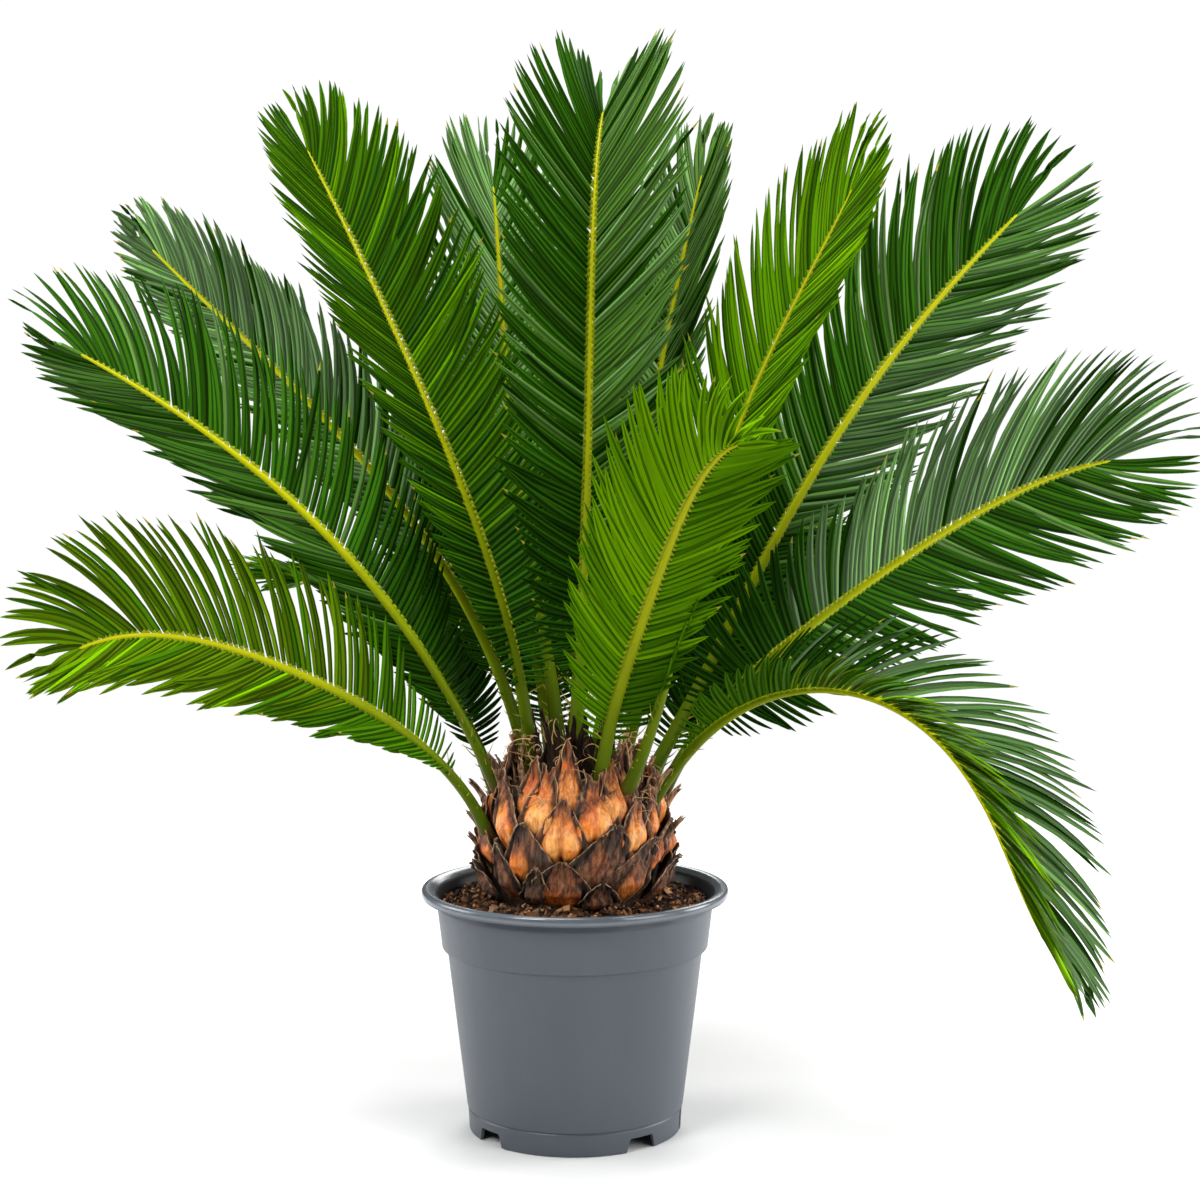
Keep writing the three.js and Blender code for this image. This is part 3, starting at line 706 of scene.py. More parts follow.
print("the centre frond's tip is", rib_line(FRONDS["frond_centre"])[-1].round(), "mm from the origin")

# %% [markdown]
# ## Ribs
# Near the trunk a rib is a smooth green stalk as thick as a finger. Further out it turns yellow, and it
# narrows to a thread at the tip. A Blender curve with a bevel would make a round rod, but this rib is flatter
# on top, where the leaflets sit, and round beneath. So it is a sleeve of fourteen-cornered rings laid along
# the frame. Every point carries two numbers for the colour: its share of the rib, which turns green to
# yellow, and how far up it faces, because the underside is paler.

# %% Rib finish
waxy_rib = Finish("waxy_rib", 0.36, 0.05)
streaks = waxy_rib.speckle(60, 4, (1, 1, 0.3))
ripeness = waxy_rib.maths("MULTIPLY_ADD", streaks, 0.16, waxy_rib.carried("share"))
top_colour = waxy_rib.band(
    ripeness,
    (0.07, (0.09, 0.055, 0.012)), (0.10, (0.055, 0.092, 0.001)), (0.22, (0.095, 0.145, 0.001)),
    (0.42, (0.21, 0.265, 0.001)), (0.62, (0.40, 0.42, 0.002)), (0.95, (0.48, 0.47, 0.003)),
)
under_colour = waxy_rib.band(
    ripeness,
    (0.07, (0.09, 0.055, 0.012)), (0.10, (0.058, 0.095, 0.001)), (0.25, (0.12, 0.165, 0.001)),
    (0.5, (0.26, 0.30, 0.002)), (0.95, (0.40, 0.41, 0.006)),
)
waxy_rib.colour(waxy_rib.blend(waxy_rib.carried("above"), under_colour, top_colour))
waxy_rib.roughness(waxy_rib.spread(streaks, 0.3, 0.48))
waxy_rib.relief(waxy_rib.speckle(340, 3, (1, 1, 0.2)), 0.2, 0.0004)
print("finish", waxy_rib.material.name)

# %% Build the ribs
RIB_WIDTH = (16.5, 2.4)  # mm at its root and at its tip
RIB_THICKNESS = (12.5, 2.6)
TAPER = 0.54  # under 1, so that it thins soon and then slowly
RIB_RINGS, RIB_SIDES = 72, 14
STALK_INSIDE = 26  # mm of stalk below its root, inside the crown
TIP_POINT = 4  # mm


def tapered(root, tip, s):
    return root + (tip - root) * np.clip(s, 0, 1) ** TAPER


def sleeve(rings, sides, pointed):
    """Faces of rings of points that follow each other, closed at the foot, and flat or pointed at the end."""
    faces = [tuple(range(sides))[::-1]]
    for low in range(0, (rings - 1) * sides, sides):
        high = low + sides
        faces += [(low + k, low + (k + 1) % sides, high + (k + 1) % sides, high + k) for k in range(sides)]
    last = (rings - 1) * sides
    if pointed:
        return faces + [(last + k, last + (k + 1) % sides, last + sides) for k in range(sides)]
    return faces + [tuple(range(last, last + sides))]


def ringed(line, across, out, wide, deep):
    """Rings about the points of a line, from their reach across it and out of it at each corner."""
    return line[:, None, :] + across[:, None, :] * wide[..., None] + out[:, None, :] * deep[..., None]


def build_rib(name, frond):
    foot = -STALK_INSIDE / frond["length"]
    s = foot + (1 - foot) * np.linspace(0, 1, RIB_RINGS)
    place, along, side, face = blade_frame(frond, s)
    half = tapered(*RIB_WIDTH, s)[:, None] / 2
    thick = tapered(*RIB_THICKNESS, s)[:, None] / 2
    turn = np.arange(RIB_SIDES) * 2 * math.pi / RIB_SIDES
    across, out = np.cos(turn), np.sin(turn)
    flat_top = np.where(out > 0, np.abs(out) ** 0.75 * 0.86, -np.abs(out))
    wide_top = across * (1 + 0.06 * out)
    points = ringed(place, side, face, half * wide_top, thick * flat_top)
    tip = place[-1] + along[-1] * TIP_POINT
    points = np.vstack([points.reshape(-1, 3), tip])
    rib = make_piece(f"{name}_rib", points, sleeve(RIB_RINGS, RIB_SIDES, pointed=True), [waxy_rib])
    carry(rib, "share", np.append(np.repeat(s, RIB_SIDES), 1))
    carry(rib, "above", np.append(np.tile(np.clip(out * 3 + 0.9, 0, 1), RIB_RINGS), 1))
    return rib


for name, frond in FRONDS.items():
    hand_over(build_rib(name, frond), frond["slot"], *nodes_of(name))

# %% [markdown]
# ## Leaflet greens
# The fronds aren't one green, partly in their own colour and partly as painted light. Some are darker, partly
# as painted shade; the glow of one or two seen from below is painted as a bright green, and the sky's sheen
# on a frond that turns its polished face up is painted as grey green. Noise could mix the greens, but a
# leaflet has one green all over, so each is a plain colour, dealt out leaflet by leaflet. A green comes in
# two close shades, so that a row doesn't look printed, and each shade is darker along a leaflet's groove as
# painted shade and lighter along its edges as a painted highlight. The wax's roughness and the groove's
# relief come from nodes.

# %% Leaflet finishes
# besides the leaves' own colour, these greens carry painted light: bright and lit a painted glow through the
# blade, silk, sheen, grey and pale a painted sheen of the sky, deep and dark painted shade
GREENS = {
    "bright": (0.112, 0.262, 0.001), "lit": (0.068, 0.182, 0.001), "fresh": (0.060, 0.122, 0.001),
    "olive": (0.046, 0.096, 0.001), "mid": (0.031, 0.097, 0.001), "deep": (0.017, 0.068, 0.002),
    "dark": (0.009, 0.038, 0.001), "silk": (0.028, 0.090, 0.006), "sheen": (0.050, 0.130, 0.012),
    "grey": (0.050, 0.115, 0.026), "pale": (0.105, 0.225, 0.055),
}
GLOSS = {"deep": 0.015, "silk": 0.1, "sheen": 0.17, "grey": 0.17, "pale": 0.15}
DULL = 0.01  # the gloss of every other green
SHADES = (0.8, 1.24)  # of one leaflet beside the next
# the groove's darkening is painted shade and the edges' lightening is a painted highlight
GROOVE_SHADE, EDGE_HIGHLIGHT = 0.52, 1.5  # how much darker a blade is along its middle, and how much lighter along its edges
# the dark middle of the underside is painted shade, the dark line between overlapping leaflets
UNDERSIDES = (0.42, 1.1)  # in the middle and towards the edges
WAX = 0.42  # roughness


def waxy_leaf(name, green, gloss):
    finish = Finish(name, WAX, gloss)
    finish.colour(green)
    finish.roughness(finish.spread(finish.speckle(40, 3), WAX - 0.06, WAX + 0.08))
    finish.relief(finish.carried("groove"), 0.5, 0.0005)
    return finish


def toned(colour, tone):
    return tuple(min(part * tone, 0.9) for part in colour)


def finishes_of(name, green):
    """The six finishes of one green: its groove in painted shade and its edge in a painted highlight, each in
    two shades, then its underside, with painted shade in the middle.
    """
    gloss = GLOSS.get(name, DULL)
    above = [waxy_leaf(f"leaf_{name}_{part}_{k + 1}", toned(green, shade * tone), gloss)
             for part, tone in (("groove", GROOVE_SHADE), ("edge", EDGE_HIGHLIGHT)) for k, shade in enumerate(SHADES)]
    return above + [waxy_leaf(f"leaf_{name}_under_{k + 1}", toned(green, tone), gloss * 0.5)
                    for k, tone in enumerate(UNDERSIDES)]


leaf_greens = {name: finishes_of(name, green) for name, green in GREENS.items()}
leaf_foot = waxy_leaf("leaf_foot_yellow", (0.26, 0.30, 0.008), 0.1)
leaf_tip = waxy_leaf("leaf_tip_straw", (0.30, 0.27, 0.02), 0.15)
print(sum(len(finishes) for finishes in leaf_greens.values()), "finishes in", len(GREENS), "greens")

# %% [markdown]
# ## Leaflets
# A leaflet is a stiff narrow blade, seven millimetres wide and up to seventeen centimetres long, with its
# edges rolled down, a rib beneath and a sharp tip. Its foot is a yellow pad on the rib. A flat strip would do
# from far off, but rolled edges catch the light, and with painted shade along the groove and a painted
# highlight along the edges they make the thin bright and dark lines that a sago frond is known by. Geometry
# Nodes could scatter copies of one blade. Here each is grown by the rule, as every one has its own length,
# angle and bend, and all of a frond's blades are joined in one mesh.

# %% The rule for one row of leaflets
FIRST_LEAFLET = 0.13  # share of the frond that is bare stalk
# along the row: how long the leaflets are, as a share of the longest, and their degrees from the rib
REACHES = ([0, 0.08, 0.2, 0.4, 0.6, 0.8, 0.93, 1], [0.13, 0.38, 0.66, 0.87, 1, 1, 0.83, 0.6])
ANGLES = ([0, 0.15, 0.5, 0.8, 0.95, 1], [90, 63, 52, 43, 31, 12])
CURL = 20  # degrees that a leaflet bends towards the frond's tip
DROOP = 0.15  # how far its direction has sunk at its tip
LOOSE = 2.2  # degrees that a leaflet strays from the rule
PITCH = 5.3  # mm from one leaflet to the next
STATIONS = np.array([0, 0.03, 0.09, 0.2, 0.36, 0.52, 0.68, 0.82, 0.93])  # along a blade; its tip is at 1


def bundled(count, size, draw):
    """Small offsets that change from leaflet to leaflet, so that tips gather in twos and threes."""
    loose = draw.normal(0, 1, count + 4)
    return size * (0.75 * loose[2:-2] + 0.35 * loose[1:-3] + 0.35 * loose[3:-1])


def leaflets_in(frond):
    return int(round((1 - FIRST_LEAFLET) * frond["length"] / PITCH))


def grow_row(frond, row, draw):
    """Middle lines, headings and directions of one row of leaflets, with the leaflets' own measures."""
    count = leaflets_in(frond)
    u = (np.arange(count) + 0.5 + 0.25 * row) / count
    u = np.clip(u + draw.normal(0, 0.12, count) / count, 0.002, 0.998)
    s = FIRST_LEAFLET + (1 - FIRST_LEAFLET) * u
    place, along, side, face = blade_frame(frond, s)
    pick = 0 if row > 0 else 1
    lift = np.radians(frond["lift"][pick] + bundled(count, LOOSE * 0.8, draw))[:, None]
    sideways = side * row * np.cos(lift) + face * np.sin(lift)
    reach = frond["leaflet"][pick] * np.interp(u, *REACHES) * (1 + draw.normal(0, 0.018, count))
    angle = np.interp(u, *ANGLES) * frond["spread"][pick] + bundled(count, LOOSE, draw)
    off_side = (tapered(*RIB_WIDTH, s) * 0.36)[:, None]
    off_middle = (tapered(*RIB_THICKNESS, s) * 0.12)[:, None]
    start = place + sideways * off_side + face * off_middle
    sag = DROOP * (1 + draw.normal(0, 0.25, count))
    bend = CURL * (1 + draw.normal(0, 0.2, count))
    ends = np.append(STATIONS, 1)
    middles = (ends[1:] + ends[:-1]) / 2

    def heading(x):
        turn = np.radians(angle - bend * x)[:, None]
        return unit(along * np.cos(turn) + sideways * np.sin(turn) - UP * (sag * x)[:, None])

    line = [start]
    for x, span in zip(middles, np.diff(ends)):
        line.append(line[-1] + heading(x) * (reach * span)[:, None])
    headings = np.stack([heading(x) for x in ends], 1)
    return dict(line=np.stack(line, 1), heading=headings, along=along, reach=reach, u=u, row=row, count=count)


counts = [leaflets_in(frond) for frond in FRONDS.values()]
print("rows of", min(counts), "to", max(counts), "leaflets")

# %% Turn rows of middle lines into blades
BLADE_WIDTH = 7.1
WIDTHS = np.array([0.46, 0.8, 0.95, 1, 1, 0.96, 0.85, 0.65, 0.36])  # at each station, as a share of the whole
ROLL = 20  # degrees that a blade's outer edge is turned up, as the slats of a blind
# the blade's section: across, and depth below its top face, both as a share of its width
SECTION = np.array([(-0.5, 0.24), (-0.18, 0.0), (0.18, 0.0), (0.5, 0.24), (0.16, 0.19), (-0.16, 0.19)])
GROOVES = [0.6, 0, 0, 0.6, 1, 1]  # the height that each corner of the section carries for the relief


def blades(leaflets, draw):
    """Points and faces of the blades of one row, and for each face its station and side of the section."""
    line, heading = leaflets["line"][:, :-1], leaflets["heading"][:, :-1]
    along = leaflets["along"][:, None, :]
    flat = unit(along - heading * np.sum(along * heading, -1, keepdims=True))
    ridge = np.cross(heading, flat) * leaflets["row"]
    count = leaflets["count"]
    turn = np.radians(ROLL * (1 + draw.normal(0, 0.22, count)))[:, None, None]
    settle = np.interp(STATIONS, [0, 0.12, 0.7, 1], [0.5, 1, 0.85, 0.4])[None, :, None]
    flat, ridge = (flat * np.cos(turn * settle) - ridge * np.sin(turn * settle),
                   ridge * np.cos(turn * settle) + flat * np.sin(turn * settle))
    slim = np.clip(leaflets["reach"] / (0.5 * leaflets["reach"].max()), 0.45, 1)
    spans = (BLADE_WIDTH * slim * (1 + draw.normal(0, 0.05, count)))[:, None] * WIDTHS[None, :]
    across = SECTION[:, 0][None, None, :, None] * spans[:, :, None, None]
    depth = SECTION[:, 1][None, None, :, None] * spans[:, :, None, None] - 0.1
    rings = line[:, :, None, :] + flat[:, :, None, :] * across + ridge[:, :, None, :] * depth
    sides, stations = len(SECTION), len(STATIONS)
    points = np.concatenate([rings.reshape(count, -1, 3), leaflets["line"][:, -1:]], axis=1)
    foot, *others = sleeve(stations, sides, pointed=True)
    pattern = [foot[::-1]] + [(face[0], *face[:0:-1]) for face in others]  # all of them turned inside out
    if leaflets["row"] < 0:
        pattern = [face[::-1] for face in pattern]
    where = [(0, sides - 1)] + [(station, k) for station in range(stations) for k in range(sides)]
    each = stations * sides + 1
    faces = [tuple(each * n + k for k in face) for n in range(count) for face in pattern]
    return points.reshape(-1, 3), faces, np.array(where)


print(len(STATIONS) * len(SECTION) + 1, "points in a blade")

# %% Which green each row wears
# greens of the left and right row of a frond, seen from its foot with its upper face towards you
DRESS = {
    "frond_front": ("lit", "bright"), "frond_bright_right": ("lit", "lit"), "frond_arch": ("grey", "fresh"),
    "frond_low_left": ("fresh", "olive"), "frond_wide_left": ("silk", "deep"),
    "frond_wide_right": ("grey", "deep"), "frond_tall_right": ("deep", "silk"),
    "frond_tall_left": ("mid", "mid"), "frond_centre": ("deep", "sheen"),
    "frond_shaded_left": ("grey", "grey"), "frond_back_right": ("sheen", "sheen"),
    "frond_back_left": ("pale", "pale"), "frond_low_right": ("deep", "deep"),
    "frond_rear_low": ("mid", "deep"), "frond_rear_right": ("mid", "mid"),
    "frond_rear_left": ("mid", "deep"), "frond_rear_tall": ("deep", "deep"),
}
# for each green: that painted as shade on the leaflets near the trunk, where the crown shades them, and that
# painted as light on the few leaflets that are turned and catch it
SHADED_AND_CATCHING = {
    "bright": ("lit", "bright"), "lit": ("mid", "bright"), "fresh": ("mid", "bright"),
    "olive": ("mid", "fresh"), "mid": ("deep", "lit"), "deep": ("dark", "sheen"), "silk": ("dark", "sheen"),
    "sheen": ("dark", "pale"), "grey": ("dark", "pale"), "pale": ("deep", "pale"),
}
print(len(DRESS), "fronds dressed from", len(SHADED_AND_CATCHING), "greens")

# %% Dress and build the leaflets
# the shaded green is painted shade and the catching green is painted light, dealt leaflet by leaflet
SHADE_ENDS = (0.16, 0.42)  # share of the row where the shaded green gives way
TURNED = 0.13  # share of the leaflets that catch the light
HIDDEN = 0.12  # share of the leaflets beyond there that are still in shade
DRY_TIPS = 0.1  # share of the leaflets whose tip has dried to straw
PER_GREEN = 6  # finishes
FOOT_SLOT, DRY_SLOT, SLOTS = 18, 19, 20  # a row's last two finishes, and how many it has


def dress_row(leaflets, where, draw):
    """Every face's finish: foot, dry tip, or groove, edge and underside in one of three greens: the row's
    own, its painted shade and its painted light.
    """
    count = leaflets["count"]
    chance = draw.uniform(0, 1, count)
    shaded = (leaflets["u"] < draw.uniform(*SHADE_ENDS, count)) | (chance < HIDDEN)
    tone = np.select([shaded, chance > 1 - TURNED], [1, 2], 0)
    shade = draw.integers(0, 2, count)[:, None]
    dry = draw.uniform(0, 1, count)[:, None] < DRY_TIPS
    station, side = where[:, 0], where[:, 1]
    dealt = np.select([side == 4, side > 2, side == 1], [4, 5, shade], 2 + shade) + PER_GREEN * tone[:, None]
    dealt = np.where(dry & (station == len(STATIONS) - 1), DRY_SLOT, dealt)
    return np.where(station == 0, FOOT_SLOT, dealt).reshape(-1)


def build_leaflets(name, frond, seed):
    """Both rows of a frond's leaflets in one mesh."""
    draw = np.random.default_rng(seed)
    parts, dealt, finishes, grooves = [], [], [], []
    for row, green in zip((1, -1), DRESS[name]):
        leaflets = grow_row(frond, row, draw)
        points, faces, where = blades(leaflets, draw)
        dealt.append(dress_row(leaflets, where, draw) + SLOTS * (row < 0))
        for tone in (green, *SHADED_AND_CATCHING[green]):
            finishes += leaf_greens[tone]
        finishes += [leaf_foot, leaf_tip]
        parts.append((points, faces))
        grooves.append(np.tile(np.append(np.tile(GROOVES, len(STATIONS)), 0.5), leaflets["count"]))
    leaves = make_piece(f"{name}_leaflets", *joined(parts), finishes, np.concatenate(dealt), crease=50)
    carry(leaves, "groove", np.concatenate(grooves))
    return leaves


for seed, (name, frond) in enumerate(FRONDS.items(), 100):
    hand_over(build_leaflets(name, frond, seed), frond["slot"], *nodes_of(name))

# %% [markdown]
# ## Trunk
# The trunk is a woody barrel that is hardly seen. What shows is its armour: the swollen bases of old leaves,
# set in a spiral like the scales of a cone. Each is a glossy orange cushion below and a brown neck above, and
# its thin dry edges stand out over the bases above it. Sculpting would do it, but one patch bent by a few
# curves can be laid down some seventy times, with its own size, age and wrinkles each time.

# %% Woody core
# height and radius
CORE = ([200.3, 216, 245, 272, 290, 304, 312, 316], [70, 73, 73, 72, 66, 56, 42, 20])
CORE_SECTORS = 96


def grained(name, roughness, gloss, grain, stops, bumps):
    """A finish whose colours and bumps follow one grain: its scale, its detail and how it is stretched."""
    finish = Finish(name, roughness, gloss)
    pattern = finish.speckle(*grain)
    finish.colour(finish.band(pattern, *stops))
    finish.relief(pattern, *bumps)
    return finish


def bark_core():
    """The barrel with shallow dents, from its flat cut on the soil to its crown."""
    heights = np.concatenate([CORE[0][:1], np.linspace(203, CORE[0][-1], 40)])
    points, faces = turned(np.stack([np.interp(heights, *CORE), heights], -1), CORE_SECTORS)
    dents = 1 + 0.02 * waves(12, 9, 26, 8)(np.arctan2(points[:, 1], points[:, 0]) * 70, points[:, 2])
    points[:, :2] *= dents[:, None]
    return points, faces


dark_wood_and_shade = grained("dark_fibrous_wood", 0.9, 0.2, (220, 5, (1, 1, 0.35)),
                    [(0.35, (0.008, 0.005, 0.003)), (0.7, (0.05, 0.024, 0.013))], (0.9, 0.0015))
hand_over(make_piece("trunk_core", *bark_core(), [dark_wood_and_shade]), "leaf_base_bark", "trunk")

# %% [markdown]
# ## Leaf base finish
# Two values travel with every point of a leaf base: how fleshy it is there, lowered into painted shade in the
# crease at a cushion's rim and along a cleft, and how close it is to a dry edge. The material turns them into
# colour: orange flesh, red-brown skin, grey-brown husk, pale torn edges and dark brown for the painted shade.
# Noise breaks up every border, because a border that is a clean line looks painted on.

# %% Leaf base finish
skin = Finish("leaf_base_skin", 0.5, 0.45)
blotches = skin.speckle(75, 5, (1, 1, 0.6))
fibres = skin.speckle(330, 6, (1, 1, 0.2))
veins = skin.speckle(160, 7, (1, 1, 0.3))
# the carried fleshiness also holds the painted shade in the creases
flesh = skin.maths("ADD", skin.carried("flesh"), skin.maths("ADD", blotches, -0.5))
colour = skin.band(
    flesh,
    (0.0, (0.036, 0.022, 0.014)), (0.2, (0.090, 0.050, 0.030)), (0.36, (0.18, 0.078, 0.034)),
    (0.5, (0.28, 0.092, 0.028)), (0.7, (0.66, 0.205, 0.032)), (1.0, (0.95, 0.41, 0.105)),
)
grain = skin.band(fibres, (0.38, (0.36, 0.30, 0.26)), (0.52, (1, 1, 1)), (0.66, (1.3, 1.35, 1.4)))
lines = skin.band(
    veins, (0.44, (1, 1, 1)), (0.49, (0.42, 0.30, 0.24)), (0.51, (0.42, 0.30, 0.24)), (0.56, (1, 1, 1)),
)
rust = skin.band(skin.speckle(34, 3), (0.46, (1, 1, 1)), (0.6, (0.95, 0.62, 0.28)))
# how strongly each tint shows on husk and on flesh, and where along the flesh that changes
tints = (grain, (0.95, 0.4, 0.3, 0.8)), (lines, (0.9, 0.35, 0.5, 0.9)), (rust, (0, 1, 0.3, 0.6))
for tint, strengths in tints:
    colour = skin.blend(skin.spread(flesh, *strengths), colour, tint, "MULTIPLY")
torn = skin.band(fibres, (0.35, (0.10, 0.055, 0.028)), (0.65, (0.46, 0.29, 0.16)))
edge = skin.maths("ADD", skin.carried("edge"), skin.maths("MULTIPLY", fibres, 0.5))
edge = skin.spread(edge, 0, 1, 1.0, 1.3)
skin.colour(skin.blend(edge, colour, torn))
skin.roughness(skin.spread(flesh, 0.8, 0.3, 0.3, 0.85))
skin.relief(skin.maths("ADD", fibres, skin.maths("MULTIPLY", veins, 0.8)), 0.9, 0.0010)
print("finish", skin.material.name)

# %% [markdown]
# ## Leaf bases
# A patch is a grid, across and up. Its outline is narrow at the foot, widest a third of the way up and drawn
# to a tip. Its foot is tucked behind the bases below, its belly bulges, and its edges flare. Some bases have
# a cleft down the belly, and some have pleats. Then it gets a thickness, so that its free edges are real.

# %% One leaf base
GRID_ACROSS, GRID_UP = 29, 37
SOIL_LINE = 200.6  # no base reaches lower
# radius that the armour hangs on, by height
ARMOUR = ([200, 214, 230, 250, 272, 290, 306, 322, 345], [74, 78, 80, 80, 77.5, 71, 62, 54, 47])
# from a base's foot (0) to its tip (1): its breadth, the breadth of its cushion, how far its belly and its
# husk stand out in mm, and how fleshy it is
BREADTH = ([0, 0.12, 0.24, 0.38, 0.54, 0.72, 0.88, 1], [0.5, 0.78, 0.95, 1, 0.87, 0.62, 0.36, 0.1])
CUSHION = ([0, 0.2, 0.38, 0.56, 0.75, 1], [0.6, 0.95, 1, 0.76, 0.5, 0.3])
BELLY = ([0, 0.1, 0.22, 0.36, 0.5, 0.66, 0.84, 1], [-8, -3.5, 3.5, 8, 7.4, 5, 5.5, 8])
HUSK = ([0, 0.1, 0.3, 0.5, 0.7, 0.9, 1], [-9, -5, 1.5, 4.6, 6, 7.5, 9])
RIPENESS = ([0, 0.06, 0.16, 0.44, 0.6, 0.8, 1], [0.4, 0.8, 1, 0.95, 0.5, 0.12, 0])
# from the middle of the cushion (0) over its rim (1): how fleshy it is
RIPE_TO_RIM = ([0, 0.62, 0.86, 1, 1.2], [1, 0.97, 0.75, 0.3, 0])


def leaf_base(foot, tip, left, right, flesh, seed,
              dry=0.2, bulge=1.0, cleft=0.0, pleats=0.0, notch=0.0, horn=0.0):
    """Points of a patch from its foot to its tip, each a bearing and a height, and the numbers they carry."""
    across, up = np.meshgrid(np.linspace(-1, 1, GRID_ACROSS), np.linspace(0, 1, GRID_UP))
    ragged = waves(7, 0.25, 0.9, seed)
    wrinkle = waves(14, 0.16, 0.6, seed + 1)
    fine = waves(18, 0.07, 0.2, seed + 2)

    breadth = np.maximum(np.interp(up, *BREADTH), 0.045 * notch * np.clip(up * 2 - 1, 0, 1))
    uneven = 1 + 0.08 * ragged(np.sign(across) * 0.7, up * 0.9)
    x = across * breadth * np.where(across < 0, left, right) * uneven
    rim = np.abs(x) / (0.8 * min(left, right) * np.interp(up, *CUSHION))

    belly = np.interp(up, *BELLY) * bulge
    husk = np.interp(up, *HUSK)
    out = belly + (husk - belly) * np.clip(rim, 0, 1) ** 2.6 - 2.4 * np.exp(-((rim - 1.05) / 0.13) ** 2)
    stands = np.clip((np.abs(across) - 0.84) / 0.16, 0, 1) ** 2 * np.clip(up * 3 - 0.3, 0, 1)
    out = out + (1.7 + 0.9 * ragged(np.sign(across), up * 1.2)) * stands
    split = np.exp(-(x / 2.4) ** 2) * np.clip(1.25 - up * 1.6, 0, 1)
    out = out - cleft * split
    out = out + pleats * np.cos(x * 0.85 + 2 * ragged(0.3, up)) * np.clip(up * 4, 0, 1)
    wrinkles = 0.65 * wrinkle(x * 0.05, up * 0.4) + 0.4 * fine(x * 0.05, up * 0.3)
    out = out + wrinkles * (0.9 + 0.9 * up - 0.3 * flesh)
    out = out + horn * np.clip((up - 0.55) / 0.45, 0, 1) ** 1.5

    z = foot[1] + (tip[1] - foot[1]) * up + 0.8 * ragged(across, 0.5) * up
    z = z + (1.2 * ragged(across, 3.0) - notch * (1 - np.abs(across))) * np.clip(up * 4 - 3, 0, 1)
    turn = np.radians(foot[0] + (tip[0] - foot[0]) * up ** 1.3) + x / 80
    radius = np.interp(z, *ARMOUR) + out
    points = np.stack([radius * np.cos(turn), radius * np.sin(turn), np.maximum(z, SOIL_LINE)], -1)

    ripe = np.interp(up, *RIPENESS) * np.interp(rim, *RIPE_TO_RIM)
    # the dip at the rim of the cushion and the dip along the cleft below are painted shade in the crease
    flesh_and_shade = dry + (flesh - dry) * ripe - 0.32 * np.exp(-((rim - 1.08) / 0.14) ** 2)
    flesh_and_shade = flesh_and_shade - 0.06 * cleft * split ** 2
    edge = np.interp(np.abs(across), [0.86, 1], [0, 1]) * np.clip(up * 2.6 - 0.2, 0, 1)
    edge = np.maximum(edge, np.interp(up, [0.94, 1], [0, 1]))
    return points.reshape(-1, 3), flesh_and_shade.reshape(-1), edge.reshape(-1)


def grid_faces(across, up):
    corner = (np.arange(up - 1)[:, None] * across + np.arange(across - 1)).reshape(-1)
    return np.stack([corner, corner + 1, corner + across + 1, corner + across], -1)


print(GRID_ACROSS * GRID_UP, "points in a leaf base")

# %% The leaf bases in front
FRONT_RADIUS = 84


def front(foot, tip, *measures, **more):
    """A base on the trunk's front. Its foot and tip each say how far right of the middle, and how high."""
    foot, tip = ((-90 + math.degrees(math.asin(x / FRONT_RADIUS)), z) for x, z in (foot, tip))
    return dict(zip(("foot", "tip", "left", "right", "flesh", "seed"), (foot, tip, *measures)), **more)


# the front, from the soil up: foot and tip, reach to the left and right of the middle, fleshiness and seed
BASES = {
    "foot": [
        front((-74, 204), (-80, 242), 13, 14, 0.3, 301, horn=6),
        front((-55, 208), (-66, 264), 11, 14, 0.5, 304, pleats=0.8),
        front((-34, 206), (-31, 244), 14, 15, 0.3, 307, bulge=1.1, pleats=1.0),
        front((-12, 205), (-9, 252), 30, 24, 0.64, 310, dry=0.26, pleats=1.0),
        front((42, 206), (67, 267), 34, 18, 0.56, 313, dry=0.3, pleats=0.8),
        front((20, 203), (24, 232), 18, 20, 0.3, 316, bulge=0.8, pleats=1.0),
        front((72, 206), (81, 246), 14, 12, 0.4, 319, horn=6),
    ],
    "middle": [
        front((-72, 232), (-82, 286), 12, 10, 0.6, 331, dry=0.36, horn=8),
        front((-48, 225), (-46, 281), 13, 31, 0.88, 334),
        front((16, 216), (36, 280), 31, 30, 0.48, 337, pleats=1.5),
        front((64, 228), (79, 278), 12, 12, 0.6, 343, dry=0.4, pleats=0.8, horn=5),
    ],
    "upper": [
        front((-58, 248), (-76, 322), 15, 21, 0.84, 361, dry=0.36, horn=6),
        front((-12, 240), (-10, 302), 23, 23, 1.1, 364, dry=0.42, bulge=1.2, cleft=8),
        front((49, 245), (62, 302), 19, 18, 1.04, 367, dry=0.4, pleats=0.6, notch=7),
        front((67, 256), (79, 306), 13, 11, 0.8, 370, dry=0.42),
    ],
    "crown": [
        front((-49, 278), (-47, 336), 16, 17, 0.86, 391, dry=0.5, bulge=0.8),
        front((-35, 258), (-29, 331), 20, 21, 1.0, 394, dry=0.44, cleft=2, notch=9),
        front((-6, 278), (-9, 350), 19, 18, 0.84, 397, dry=0.44, pleats=0.6),
        front((18, 252), (24, 326), 24, 23, 0.96, 400, dry=0.42, cleft=4, notch=11),
        front((40, 270), (45, 333), 20, 19, 0.86, 403, dry=0.5, pleats=0.8),
        front((57, 286), (60, 344), 10, 10, 0.5, 406, dry=0.42, pleats=0.6, horn=5),
    ],
}
print(sum(len(rows) for rows in BASES.values()), "bases in front")

